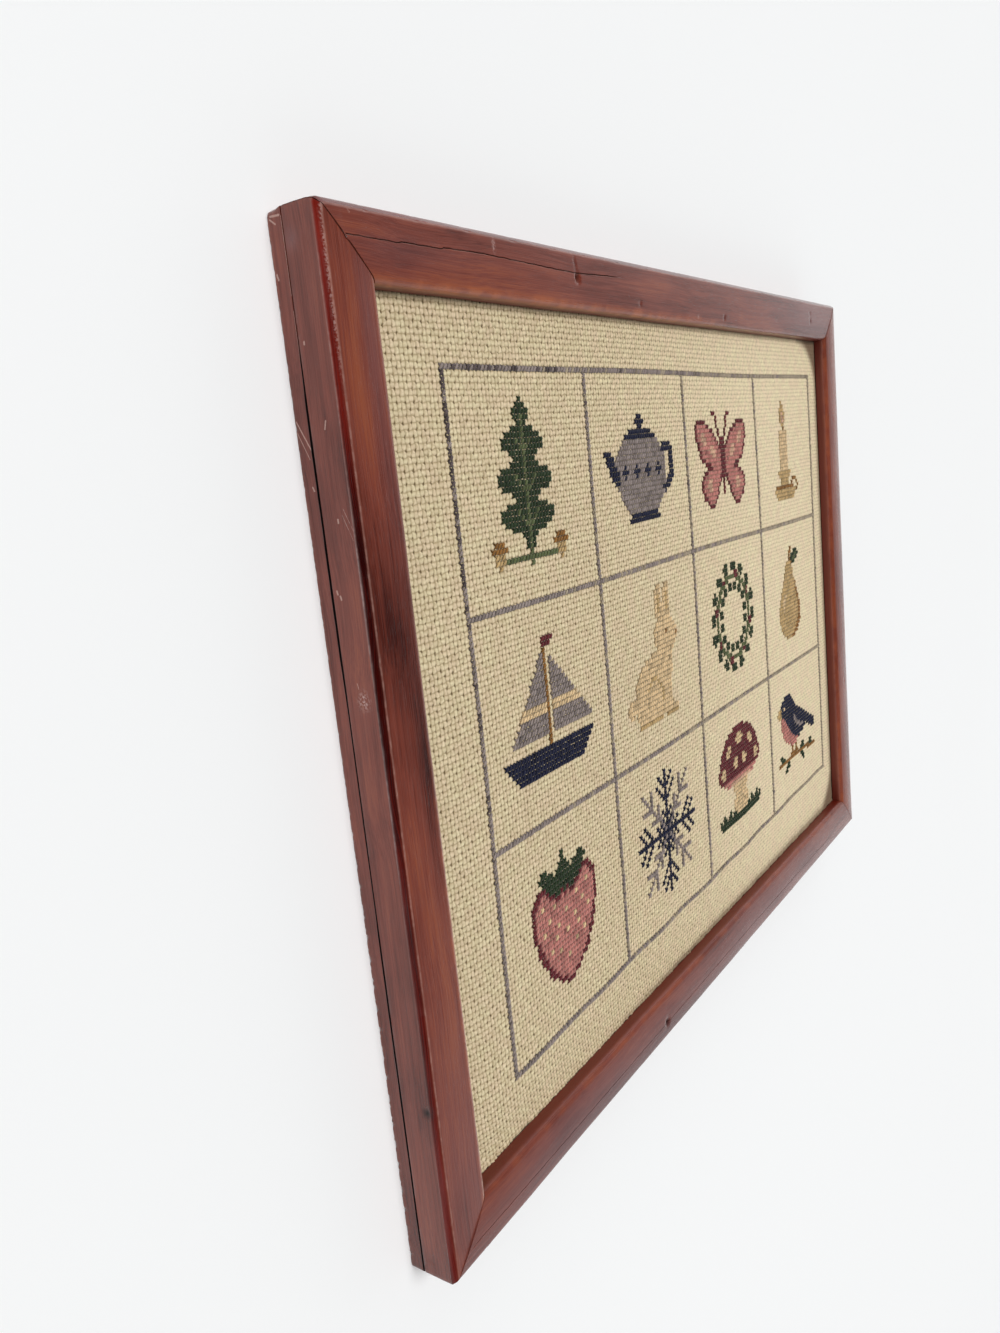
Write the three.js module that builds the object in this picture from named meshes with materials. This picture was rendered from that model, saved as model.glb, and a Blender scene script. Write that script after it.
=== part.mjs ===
// Framed cross stitch sampler, lying on its back.
// Units are millimetres. The origin is the middle of the frame's back, +X is the picture's right,
// +Y is the picture's top and +Z points out of its face.

import * as THREE from 'three';
import { mergeVertices } from 'three/addons/utils/BufferGeometryUtils.js';

// Outside of the frame
const FRAME_WIDTH = 400;
const FRAME_HEIGHT = 298;
const FRAME_DEPTH = 17.5;

// The moulding, measured inwards from its outer side and down from its front
const RAIL_WIDTH = 18.9;
const BAND_INSET = 1.8; // outer edge worked to a narrow sloping band
const BAND_DROP = 1.6;
const BAND_BULGE = 0.35;
const CROWN = 0.5; // rise of the front face across its width
const SIGHT_ROUND = 2.4; // rounding of the edge round the cloth
const LIP_WIDTH = 6.6;
const LIP_DEPTH = 6.4;

// A thin strip is glued behind the moulding to deepen it
const STRIP_DEPTH = 4.8;
const GAP = 0.3; // glue lines, mitres and the cloth's room in its rebate

// The cloth
const CLOTH_THICKNESS = 2;
const CLOTH_RISE = 0.9; // middle of the cloth, above its held edges
const SLACK_RISE = 0.35; // loose waves along the lower edge
const SLACK_PITCH = 46;
const SLACK_REACH = 55;
const CLOTH_COLUMNS = 32;
const CLOTH_ROWS = 24;

const stainedWood = new THREE.MeshStandardMaterial({
  name: 'stained_wood', color: 0x5c2a22, roughness: 0.35, metalness: 0,
});
const evenweaveCloth = new THREE.MeshStandardMaterial({
  name: 'evenweave_cloth', color: 0xd8caa4, roughness: 0.95, metalness: 0,
});

// Section of the moulding: x runs inwards from the outer side, y runs forwards from the back.
function mouldingSection() {
  const front = FRAME_DEPTH - CROWN;
  const back = STRIP_DEPTH + GAP;
  const rebateSide = RAIL_WIDTH - LIP_WIDTH;
  const lipBack = FRAME_DEPTH - LIP_DEPTH;
  const section = new THREE.Shape();
  section.moveTo(0, back);
  section.lineTo(rebateSide, back);
  section.lineTo(rebateSide, lipBack);
  section.lineTo(RAIL_WIDTH, lipBack);
  section.lineTo(RAIL_WIDTH, front - SIGHT_ROUND);
  section.quadraticCurveTo(RAIL_WIDTH, front, RAIL_WIDTH - SIGHT_ROUND, front);
  section.quadraticCurveTo((RAIL_WIDTH - SIGHT_ROUND + BAND_INSET) / 2, front + 2 * CROWN, BAND_INSET, front);
  section.quadraticCurveTo(
    BAND_INSET / 2 - BAND_BULGE, front - BAND_DROP / 2 + BAND_BULGE, 0, front - BAND_DROP,
  );
  section.closePath();
  return section;
}

function stripSection() {
  const section = new THREE.Shape();
  section.moveTo(0, 0);
  section.lineTo(RAIL_WIDTH - LIP_WIDTH, 0);
  section.lineTo(RAIL_WIDTH - LIP_WIDTH, STRIP_DEPTH);
  section.lineTo(0, STRIP_DEPTH);
  section.closePath();
  return section;
}

// Runs a section along X and cuts both ends to a 45 degree mitre. The outer side lies on y = 0.
function mitredLength(section, length) {
  const geometry = new THREE.ExtrudeGeometry(section, {
    depth: length, steps: 1, curveSegments: 5, bevelEnabled: false,
  });
  const position = geometry.attributes.position;
  const endGap = GAP / Math.SQRT2;
  for (let i = 0; i < position.count; i += 1) {
    const inset = position.getX(i);
    const height = position.getY(i);
    const side = position.getZ(i) > length / 2 ? 1 : -1;
    position.setXYZ(i, side * (length / 2 - inset - endGap), inset, height);
  }
  return geometry;
}

function addLengths(group, kind, section) {
  const sides = [
    { side: 'bottom', length: FRAME_WIDTH, x: 0, y: -FRAME_HEIGHT / 2, turn: 0 },
    { side: 'right', length: FRAME_HEIGHT, x: FRAME_WIDTH / 2, y: 0, turn: Math.PI / 2 },
    { side: 'top', length: FRAME_WIDTH, x: 0, y: FRAME_HEIGHT / 2, turn: Math.PI },
    { side: 'left', length: FRAME_HEIGHT, x: -FRAME_WIDTH / 2, y: 0, turn: -Math.PI / 2 },
  ];
  for (const { side, length, x, y, turn } of sides) {
    const mesh = new THREE.Mesh(mitredLength(section, length), stainedWood);
    mesh.name = `${kind}_${side}`;
    mesh.position.set(x, y, 0);
    mesh.rotation.z = turn;
    group.add(mesh);
  }
}

// Height of the cloth over its held edges. Its edges stay flat behind the lip.
function clothLift(x, y, width, height) {
  const across = 1 - (2 * x / width) ** 2;
  const along = 1 - (2 * y / height) ** 2;
  const fromLip = y + height / 2 - LIP_WIDTH;
  const reach = THREE.MathUtils.clamp(fromLip / SLACK_REACH, 0, 1);
  const slack = SLACK_RISE * 4 * reach * (1 - reach) * across * Math.cos(2 * Math.PI * x / SLACK_PITCH);
  return CLOTH_RISE * across * along + slack;
}

// One sheet, held all round in the rebate and a little slack between.
function clothGeometry() {
  const hold = 2 * (RAIL_WIDTH - LIP_WIDTH + GAP);
  const width = FRAME_WIDTH - hold;
  const height = FRAME_HEIGHT - hold;
  const box = new THREE.BoxGeometry(width, height, CLOTH_THICKNESS, CLOTH_COLUMNS, CLOTH_ROWS, 1);
  box.deleteAttribute('normal');
  box.deleteAttribute('uv');
  const geometry = mergeVertices(box);
  const position = geometry.attributes.position;
  for (let i = 0; i < position.count; i += 1) {
    const lift = clothLift(position.getX(i), position.getY(i), width, height);
    position.setZ(i, position.getZ(i) + lift);
  }
  geometry.computeVertexNormals();
  return geometry;
}

const group = new THREE.Group();
addLengths(group, 'rail', mouldingSection());
addLengths(group, 'strip', stripSection());

const cloth = new THREE.Mesh(clothGeometry(), evenweaveCloth);
cloth.name = 'cloth';
cloth.position.z = FRAME_DEPTH - LIP_DEPTH - GAP - CLOTH_THICKNESS / 2;
group.add(cloth);

export default group;
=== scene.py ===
"""Looks of a framed cross stitch sampler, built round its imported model.

The classes hold their sizes in millimetres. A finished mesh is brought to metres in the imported
model's own axes: +X is the picture's right, +Y the picture's top and +Z out of its face.
"""

import logging
import math
from collections.abc import Callable, Iterator, Sequence
from contextlib import contextmanager
from dataclasses import dataclass, field
from enum import Enum

import bmesh
import bpy
import numpy as np
from mathutils import Matrix, Vector


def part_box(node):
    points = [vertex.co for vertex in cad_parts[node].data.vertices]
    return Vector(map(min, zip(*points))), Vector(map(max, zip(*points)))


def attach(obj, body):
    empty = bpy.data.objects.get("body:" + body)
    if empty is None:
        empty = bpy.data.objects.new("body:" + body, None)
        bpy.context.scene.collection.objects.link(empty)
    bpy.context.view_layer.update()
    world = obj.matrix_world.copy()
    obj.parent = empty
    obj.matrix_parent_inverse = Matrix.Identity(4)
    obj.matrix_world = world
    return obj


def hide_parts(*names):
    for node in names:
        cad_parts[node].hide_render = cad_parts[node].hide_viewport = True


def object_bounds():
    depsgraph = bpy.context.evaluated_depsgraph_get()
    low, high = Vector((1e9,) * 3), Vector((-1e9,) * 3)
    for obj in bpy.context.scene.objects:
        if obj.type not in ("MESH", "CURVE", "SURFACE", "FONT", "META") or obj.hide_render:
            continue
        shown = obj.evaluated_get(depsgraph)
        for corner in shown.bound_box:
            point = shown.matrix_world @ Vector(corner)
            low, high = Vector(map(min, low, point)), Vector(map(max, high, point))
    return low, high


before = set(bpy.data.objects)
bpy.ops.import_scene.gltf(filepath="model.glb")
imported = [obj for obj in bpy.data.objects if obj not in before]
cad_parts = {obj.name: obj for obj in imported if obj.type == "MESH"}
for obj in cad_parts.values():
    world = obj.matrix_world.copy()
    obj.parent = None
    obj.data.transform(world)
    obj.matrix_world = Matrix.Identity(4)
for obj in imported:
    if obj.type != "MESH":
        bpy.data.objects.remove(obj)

CAD_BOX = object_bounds()

LOG = logging.getLogger("sampler")
MM = 0.001
BODY = "root"
EPSILON = 1e-3  # lengths nearer than this are the same, in the unit at hand
NEAR = 0.02  # millimetres; a vertex nearer to a plane than this was cut on it
NOWHERE = -1000  # a place before the beginning of any length

Array = np.ndarray
Colour = tuple[float, float, float]
Place = tuple[float, float, float]
Piece = bpy.types.Object
Material = bpy.types.Material
Tree = bpy.types.NodeTree
Socket = bpy.types.NodeSocket
Stitches = list[tuple[int, int, str]]  # the column, row and thread of each


# The bench: modelling by operators


def add_block(name: str, low: Sequence[float], high: Sequence[float]) -> Piece:
    """Adds a cube primitive that fills the space between two corners.

    Args:
        name: Name of the new piece.
        low: Its lowest corner.
        high: Its highest corner.

    Returns:
        The new piece, with its size and place in its mesh.
    """
    bpy.ops.object.select_all(action="DESELECT")
    middle = (Vector(low) + Vector(high)) / 2
    bpy.ops.mesh.primitive_cube_add(size=1, location=middle, scale=Vector(high) - Vector(low))
    block = bpy.context.active_object
    block.name = block.data.name = name
    bpy.ops.object.transform_apply(location=True, rotation=True, scale=True)
    return block


@contextmanager
def editing(piece: Piece) -> Iterator[None]:
    """Holds a piece in edit mode, at first with nothing selected.

    Args:
        piece: The piece to edit.

    Yields:
        Nothing. The operators act on the piece.
    """
    bpy.ops.object.select_all(action="DESELECT")
    bpy.context.view_layer.objects.active = piece
    piece.select_set(True)
    bpy.ops.object.mode_set(mode="EDIT")
    bpy.ops.mesh.select_all(action="DESELECT")
    yield
    bpy.ops.object.mode_set(mode="OBJECT")


def pick(kind: str, wanted: Callable[..., bool]) -> int:
    """Selects only some of the edited piece's faces or edges.

    Args:
        kind: FACE or EDGE.
        wanted: Takes a face or an edge, and says whether it is wanted.

    Returns:
        How many are selected.
    """
    bpy.ops.mesh.select_mode(type=kind)
    bpy.ops.mesh.select_all(action="DESELECT")
    data = bpy.context.edit_object.data
    mesh = bmesh.from_edit_mesh(data)
    mesh.normal_update()
    chosen = [part for part in (mesh.faces if kind == "FACE" else mesh.edges) if wanted(part)]
    for part in chosen:
        part.select_set(True)
    bmesh.update_edit_mesh(data)
    return len(chosen)


def pick_faces(test: Callable[[Vector, Vector], bool]) -> int:
    """Selects only the faces that pass a test of their middle and normal, and counts them."""
    return pick("FACE", lambda face: test(face.calc_center_median(), face.normal))


def pick_edges(test: Callable[[Vector, Vector], bool]) -> int:
    """Selects only the edges of the edited piece that pass a test.

    Args:
        test: Takes an edge's middle and its run from end to end, and says whether it is wanted.

    Returns:
        How many are selected.
    """
    def passes(edge: bmesh.types.BMEdge) -> bool:
        """Says whether one edge passes."""
        first, last = (corner.co for corner in edge.verts)
        return test((first + last) / 2, last - first)

    return pick("EDGE", passes)


def runs_along_x(run: Vector) -> bool:
    """Says whether an edge runs along X."""
    return abs(run.y) < EPSILON and abs(run.z) < EPSILON


def read_points(piece: Piece) -> Array:
    """Reads a piece's vertices.

    Args:
        piece: The piece to read.

    Returns:
        A row of x, y and z for each vertex.
    """
    flat = np.empty(len(piece.data.vertices) * 3)
    piece.data.vertices.foreach_get("co", flat)
    return flat.reshape(-1, 3)


def write_points(piece: Piece, points: Array) -> None:
    """Puts a piece's vertices at new places.

    Args:
        piece: The piece to change.
        points: A row of x, y and z for each vertex.
    """
    piece.data.vertices.foreach_set("co", points.ravel())
    piece.data.update()


def write_masks(piece: Piece, **masks: Array) -> None:
    """Keeps masks, for a material to read.

    Args:
        piece: The piece that carries them.
        masks: Their names, each with one number for each vertex.
    """
    for name, values in masks.items():
        mask = piece.data.attributes.new(name, "FLOAT", "POINT")
        mask.data.foreach_set("value", values.astype(np.float32))


def write_map(piece: Piece, name: str, places: Array) -> None:
    """Gives a piece one map of its own.

    Args:
        piece: The piece.
        name: Name of the map.
        places: A row of U and V for each vertex.
    """
    for old in list(piece.data.uv_layers):
        piece.data.uv_layers.remove(old)
    layer = piece.data.uv_layers.new(name=name)
    corners = np.empty(len(piece.data.loops), np.int64)
    piece.data.loops.foreach_get("vertex_index", corners)
    layer.data.foreach_set("uv", places[corners].astype(np.float32).ravel())


def smooth_step(values: Array) -> Array:
    """Returns 0 below 0, 1 above 1 and an S curve between."""
    held = np.clip(values, 0, 1)
    return held * held * (3 - 2 * held)


def bell(distance: Array, reach: object) -> Array:
    """Returns 1 at no distance, about a third at the reach and almost 0 at twice the reach."""
    return np.exp(-((distance / reach) ** 2))


@dataclass
class Waver:
    """An uneven line that comes out the same on each run."""

    seed: int
    lengths: tuple[float, ...] = (190, 83, 41, 17)  # of its waves, in millimetres

    def at(self, along: Array) -> Array:
        """Works out the line's height.

        Args:
            along: Places along the line.

        Returns:
            Heights from about -1 to 1.
        """
        draw = np.random.default_rng(self.seed)
        total = np.zeros_like(along)
        for length in self.lengths:
            phase = draw.uniform(0, 2 * math.pi)
            total += np.sin(2 * math.pi * along / length + phase) * math.sqrt(length)
        return total / sum(math.sqrt(length) for length in self.lengths)


def settle(piece: Piece, body: str, slot: str, *nodes: str) -> None:
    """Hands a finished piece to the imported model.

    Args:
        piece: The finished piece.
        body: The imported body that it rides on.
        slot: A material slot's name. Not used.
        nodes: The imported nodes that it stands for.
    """
    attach(piece, body)
    if nodes:
        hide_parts(*nodes)
    faces = len(piece.data.polygons)
    LOG.info("%s: %d faces, %d vertices", piece.name, faces, len(piece.data.vertices))


# Node work for the finishes


@dataclass
class Recipe:
    """Places and joins shader nodes in one node tree."""

    tree: Tree

    def feed(self, made: bpy.types.Node, inputs: dict) -> None:
        """Joins or sets a node's inputs.

        Args:
            made: The node.
            inputs: Input names or numbers, each with a socket to join or a value to set.
        """
        for key, value in inputs.items():
            if isinstance(value, Socket):
                self.tree.links.new(value, made.inputs[key])
            else:
                made.inputs[key].default_value = value

    def node(self, kind: str, inputs: dict | None = None, **settings: object) -> bpy.types.Node:
        """Adds a node.

        Args:
            kind: The node's type name, without its ShaderNode prefix.
            inputs: Its inputs, as feed takes them.
            settings: The node's own options.

        Returns:
            The new node.
        """
        made = self.tree.nodes.new("ShaderNode" + kind)
        for name, value in settings.items():
            setattr(made, name, value)
        self.feed(made, inputs or {})
        return made

    def group(self, tree: Tree, inputs: dict) -> bpy.types.bpy_prop_collection:
        """Places a node group.

        Args:
            tree: The group's own tree.
            inputs: Its inputs, as feed takes them.

        Returns:
            The group's outputs.
        """
        made = self.tree.nodes.new("ShaderNodeGroup")
        made.node_tree = tree
        self.feed(made, inputs)
        return made.outputs

    def math(self, operation: str, *values: object, clamp: bool = False) -> Socket:
        """Joins a Math node to its values and returns its result."""
        made = self.node("Math", dict(enumerate(values)), operation=operation, use_clamp=clamp)
        return made.outputs[0]

    def vector(self, operation: str, *values: object, output: str = "Vector") -> Socket:
        """Joins a Vector Math node to its values and returns one of its results."""
        made = self.node("VectorMath", dict(enumerate(values)), operation=operation)
        return made.outputs[output]

    def times(self, first: object, second: object, clamp: bool = False) -> Socket:
        """Returns the product of two numbers."""
        return self.math("MULTIPLY", first, second, clamp=clamp)

    def line(self, value: object, slope: object, start: object) -> Socket:
        """Returns a value times a slope, plus a start."""
        return self.math("MULTIPLY_ADD", value, slope, start)

    def inverse(self, value: object, clamp: bool = False) -> Socket:
        """Returns 1 less a number."""
        return self.math("SUBTRACT", 1.0, value, clamp=clamp)

    def stretch(self, place: Socket, scale: Sequence[float]) -> Socket:
        """Returns a place or a colour with each of its three parts scaled."""
        return self.vector("MULTIPLY", place, scale)

    def noise(self, place: Socket, scale: object, detail: float = 2, roughness: float = 0.5) -> Socket:
        """Returns smooth noise from about 0.3 to 0.7 over a place."""
        inputs = {"Vector": place, "Scale": scale, "Detail": detail, "Roughness": roughness}
        return self.node("TexNoise", inputs).outputs["Fac"]

    def chance(self, place: Socket) -> Socket:
        """Returns a number from 0 to 1 that is unlike its neighbours' at each place."""
        return self.node("TexWhiteNoise", {"Vector": place}, noise_dimensions="2D").outputs["Value"]

    def rise(self, value: object, low: float, high: float) -> Socket:
        """Returns 0 where a value is under low, 1 where it is over high, and a smooth rise between."""
        inputs = {"Value": value, "From Min": low, "From Max": high}
        return self.node("MapRange", inputs, interpolation_type="SMOOTHSTEP").outputs["Result"]

    def blend(self, share: object, first: object, second: object) -> Socket:
        """Mixes two colours.

        Args:
            share: How much of the second colour shows.
            first: A socket, or a colour of three parts.
            second: The same.

        Returns:
            The mixed colour.
        """
        inputs = {0: share}
        for key, value in ((6, first), (7, second)):
            inputs[key] = value if isinstance(value, Socket) else (*value, 1)
        return self.node("Mix", inputs, data_type="RGBA").outputs[2]

    def lay(self, colour: Socket, layers: Sequence[tuple[object, object]]) -> Socket:
        """Lays colours over a colour, one after another.

        Args:
            colour: The colour below.
            layers: How much of each shows, and its colour.

        Returns:
            The colour on top.
        """
        for share, over in layers:
            colour = self.blend(share, colour, over)
        return colour

    def ramp(self, value: Socket, stops: Sequence[tuple[float, Colour]]) -> Socket:
        """Makes a colour that follows a value through stops.

        Args:
            value: A number from 0 to 1.
            stops: Places from 0 to 1, each with its colour.

        Returns:
            The colour.
        """
        made = self.node("ValToRGB", {0: value})
        marks = made.color_ramp.elements
        marks[0].position, marks[1].position = stops[0][0], stops[-1][0]
        for place, _colour in stops[1:-1]:
            marks.new(place)
        for mark, (_place, colour) in zip(marks, stops):
            mark.color = (*colour, 1)
        return made.outputs["Color"]

    def mask(self, name: str) -> Socket:
        """Returns a piece's own attribute."""
        return self.node("Attribute", attribute_name=name).outputs["Fac"]

    def bump(self, height: Socket, strength: float, distance: float) -> Socket:
        """Returns the normal of a relief, from its height and its depth in metres."""
        inputs = {"Height": height, "Strength": strength, "Distance": distance}
        return self.node("Bump", inputs).outputs["Normal"]


def start_group(
    name: str, inputs: dict[str, str], outputs: Sequence[str],
) -> tuple[Recipe, bpy.types.Node, bpy.types.Node]:
    """Starts a shader node group.

    Args:
        name: The group's name.
        inputs: Its input names, each with Float, Vector or Color.
        outputs: Its output names. All are numbers.

    Returns:
        The group's recipe, its input node and its output node.
    """
    tree = bpy.data.node_groups.new(name, "ShaderNodeTree")
    for socket, kind in inputs.items():
        tree.interface.new_socket(socket, in_out="INPUT", socket_type="NodeSocket" + kind)
    for socket in outputs:
        tree.interface.new_socket(socket, in_out="OUTPUT", socket_type="NodeSocketFloat")
    source = tree.nodes.new("NodeGroupInput")
    result = tree.nodes.new("NodeGroupOutput")
    return Recipe(tree), source, result


def start_material(name: str) -> tuple[Material, Recipe, bpy.types.Node]:
    """Starts a material.

    Args:
        name: The material's name.

    Returns:
        The material, its recipe and its Principled BSDF node.
    """
    material = bpy.data.materials.new(name)
    material.use_nodes = True
    return material, Recipe(material.node_tree), material.node_tree.nodes["Principled BSDF"]


def wood_grain_group() -> Tree:
    """Makes the masks of straight grained wood, over a place in millimetres with X along the grain.

    Returns:
        The group's tree.
    """
    recipe, source, result = start_group(
        "wood_grain", {"Place": "Vector"}, ("Streaks", "Lines", "Figure", "Pores", "Mottle"),
    )
    place = source.outputs["Place"]
    drift = recipe.times(recipe.noise(recipe.stretch(place, (0.02, 0.02, 0.02)), 1, 1), 5)
    place = recipe.vector("ADD", place, recipe.node("CombineXYZ", {1: drift, 2: drift}).outputs[0])
    layers = {  # how it is stretched, detail, roughness, and where it begins and ends to show
        "Streaks": ((0.030, 1.1, 1.1), 4, 0.62, 0.36, 0.66),
        "Lines": ((0.014, 3.6, 3.6), 2, 0.5, 0.40, 0.62),
        "Figure": ((0.008, 0.17, 0.17), 2, 0.5, 0.36, 0.64),
        "Pores": ((0.22, 4.6, 4.6), 2, 0.5, 0.60, 0.72),
        "Mottle": ((0.021, 0.05, 0.05), 3, 0.55, 0.38, 0.62),
    }
    for name, (scale, detail, roughness, low, high) in layers.items():
        value = recipe.noise(recipe.stretch(place, scale), 1, detail, roughness)
        recipe.feed(result, {name: recipe.rise(value, low, high)})
    return recipe.tree


def patchy_group() -> Tree:
    """Makes a mask broken into patches, as wear and painted highlights are, over a place in millimetres.

    Returns:
        The group's tree.
    """
    recipe, source, result = start_group(
        "patchy", {"Mask": "Float", "Place": "Vector", "Grain": "Float"}, ("Wear",),
    )
    patches = recipe.noise(source.outputs["Place"], source.outputs["Grain"], 4)
    recipe.feed(result, {"Wear": recipe.times(recipe.rise(patches, 0.42, 0.62), source.outputs["Mask"])})
    return recipe.tree


def scratch_group() -> Tree:
    """Makes a mask along a ragged, straight scratch between two places in millimetres.

    Returns:
        The group's tree.
    """
    recipe, source, result = start_group(
        "scratch", {"Place": "Vector", "Start": "Vector", "End": "Vector", "Width": "Float"}, ("Mask",),
    )
    place, start, end, width = (source.outputs[name] for name in ("Place", "Start", "End", "Width"))
    away, run = recipe.vector("SUBTRACT", place, start), recipe.vector("SUBTRACT", end, start)
    along = recipe.vector("DOT_PRODUCT", away, run, output="Value")
    whole = recipe.vector("DOT_PRODUCT", run, run, output="Value")
    share = recipe.math("DIVIDE", along, whole, clamp=True)
    nearest = recipe.node("VectorMath", {0: run, "Scale": share}, operation="SCALE").outputs["Vector"]
    distance = recipe.vector("LENGTH", recipe.vector("SUBTRACT", away, nearest), output="Value")
    ragged = recipe.times(recipe.noise(place, 2.6, 3), width)
    edge = recipe.math("DIVIDE", recipe.math("ADD", distance, ragged), recipe.times(width, 1.6))
    recipe.feed(result, {"Mask": recipe.inverse(recipe.rise(edge, 0.6, 1.1))})
    return recipe.tree


def evenweave_group() -> Tree:
    """Makes the relief, holes and block tones of a basket weave, over a place counted in stitches.

    Returns:
        The group's tree.
    """
    recipe, source, result = start_group(
        "evenweave", {"Place": "Vector"}, ("Relief", "Pillow", "Holes", "Lines", "Block"),
    )
    flat = source.outputs["Place"]

    def arch(value: Socket, count: float) -> Socket:
        """Returns so many round arches to a stitch."""
        return recipe.math("ABSOLUTE", recipe.math("SINE", recipe.times(value, count * math.pi)))

    def is_odd(value: Socket) -> Socket:
        """Returns 1 where a whole number is odd and 0 where it is even."""
        return recipe.math("MODULO", recipe.math("ABSOLUTE", value), 2.0)

    def from_whole(value: Socket) -> Socket:
        """Returns the distance to the nearest whole number."""
        part = recipe.math("FRACT", recipe.math("ADD", value, 0.5))
        return recipe.math("ABSOLUTE", recipe.math("SUBTRACT", part, 0.5))

    def choose(upright: Socket, level: Socket) -> Socket:
        """Returns one value where the threads run up and another where they run across."""
        return recipe.node("Mix", {0: odd, 2: upright, 3: level}, data_type="FLOAT").outputs[0]

    def ribs(over: Socket, along: Socket) -> Socket:
        """Returns the height of two threads side by side, which dip at their ends."""
        pair = recipe.line(arch(over, 2), 0.45, 0.55)
        return recipe.times(pair, recipe.math("POWER", arch(along, 1), 0.7))

    def patches(scale: float, low: float, high: float) -> Socket:
        """Returns a soft mask of uneven patches."""
        return recipe.rise(recipe.noise(flat, scale, 2), low, high)

    wander = recipe.node("TexNoise", {"Vector": flat, "Scale": 0.8, "Detail": 1}).outputs["Color"]
    wander = recipe.vector("SUBTRACT", wander, (0.5, 0.5, 0.5))
    place = recipe.vector("ADD", flat, recipe.stretch(wander, (0.55, 0.55, 0)))
    across, up = recipe.node("SeparateXYZ", {0: place}).outputs[:2]
    column, row = recipe.math("FLOOR", across), recipe.math("FLOOR", up)
    odd = is_odd(recipe.math("ADD", column, row))

    block = recipe.chance(recipe.node("CombineXYZ", {0: column, 1: row}).outputs[0])
    strand = recipe.chance(recipe.vector("FLOOR", recipe.stretch(place, (2, 2, 2))))
    block = recipe.line(strand, 0.5, recipe.times(block, 0.5))
    domes = [arch(across, 1), arch(up, 1)]
    pillow = choose(*(
        recipe.times(recipe.math("POWER", dips, 0.85), recipe.math("POWER", runs, 0.22))
        for dips, runs in (domes[::-1], domes)
    ))
    relief = choose(ribs(across, up), ribs(up, across))

    wide = recipe.math("POWER", recipe.math("DIVIDE", from_whole(across), 0.27), 2.0)
    tall = recipe.math("POWER", recipe.math("DIVIDE", from_whole(up), 0.40), 2.0)
    near = recipe.inverse(recipe.math("ADD", wide, tall), clamp=True)
    strong = is_odd(recipe.math("ADD", recipe.math("ROUND", across), recipe.math("ROUND", up)))
    shown = recipe.line(patches(0.9, 0.34, 0.60), 0.60, 0.40)
    holes = recipe.times(near, recipe.times(recipe.line(strong, 0.85, 0.20), shown), clamp=True)

    seam = recipe.inverse(recipe.math("DIVIDE", from_whole(across), 0.22), clamp=True)
    level_seam = recipe.inverse(recipe.math("DIVIDE", from_whole(up), 0.20), clamp=True)
    seam = recipe.times(seam, recipe.line(odd, 0.6, 0.4))
    level_seam = recipe.times(level_seam, recipe.line(odd, -0.6, 1.0))
    shown = recipe.line(patches(0.75, 0.38, 0.62), 0.75, 0.25)
    lines = recipe.times(recipe.math("MAXIMUM", seam, level_seam), shown)
    masks = {"Relief": relief, "Pillow": pillow, "Holes": holes, "Lines": lines, "Block": block}
    recipe.feed(result, masks)
    return recipe.tree


def twisted_thread_group() -> Tree:
    """Makes the relief of stranded thread, over a stitch's own map.

    Returns:
        The group's tree.
    """
    recipe, source, result = start_group("twisted_thread", {"Place": "Vector"}, ("Relief", "Ends"))
    along, across = recipe.node("SeparateXYZ", {0: source.outputs["Place"]}).outputs[:2]
    slant = recipe.math("ADD", recipe.times(along, 5.0), recipe.times(across, 2.2))
    twist = recipe.math("SINE", recipe.times(slant, 2 * math.pi))
    from_middle = recipe.math("ABSOLUTE", recipe.math("SUBTRACT", along, 0.5))
    ends = recipe.rise(from_middle, 0.28, 0.5)
    recipe.feed(result, {"Relief": recipe.line(twist, 0.5, 0.5), "Ends": ends})
    return recipe.tree


@dataclass(frozen=True)
class Scratch:
    """A pale scratch or fleck between two places of the frame, in millimetres."""

    start: Place
    end: Place
    width: float = 0.22


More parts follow.
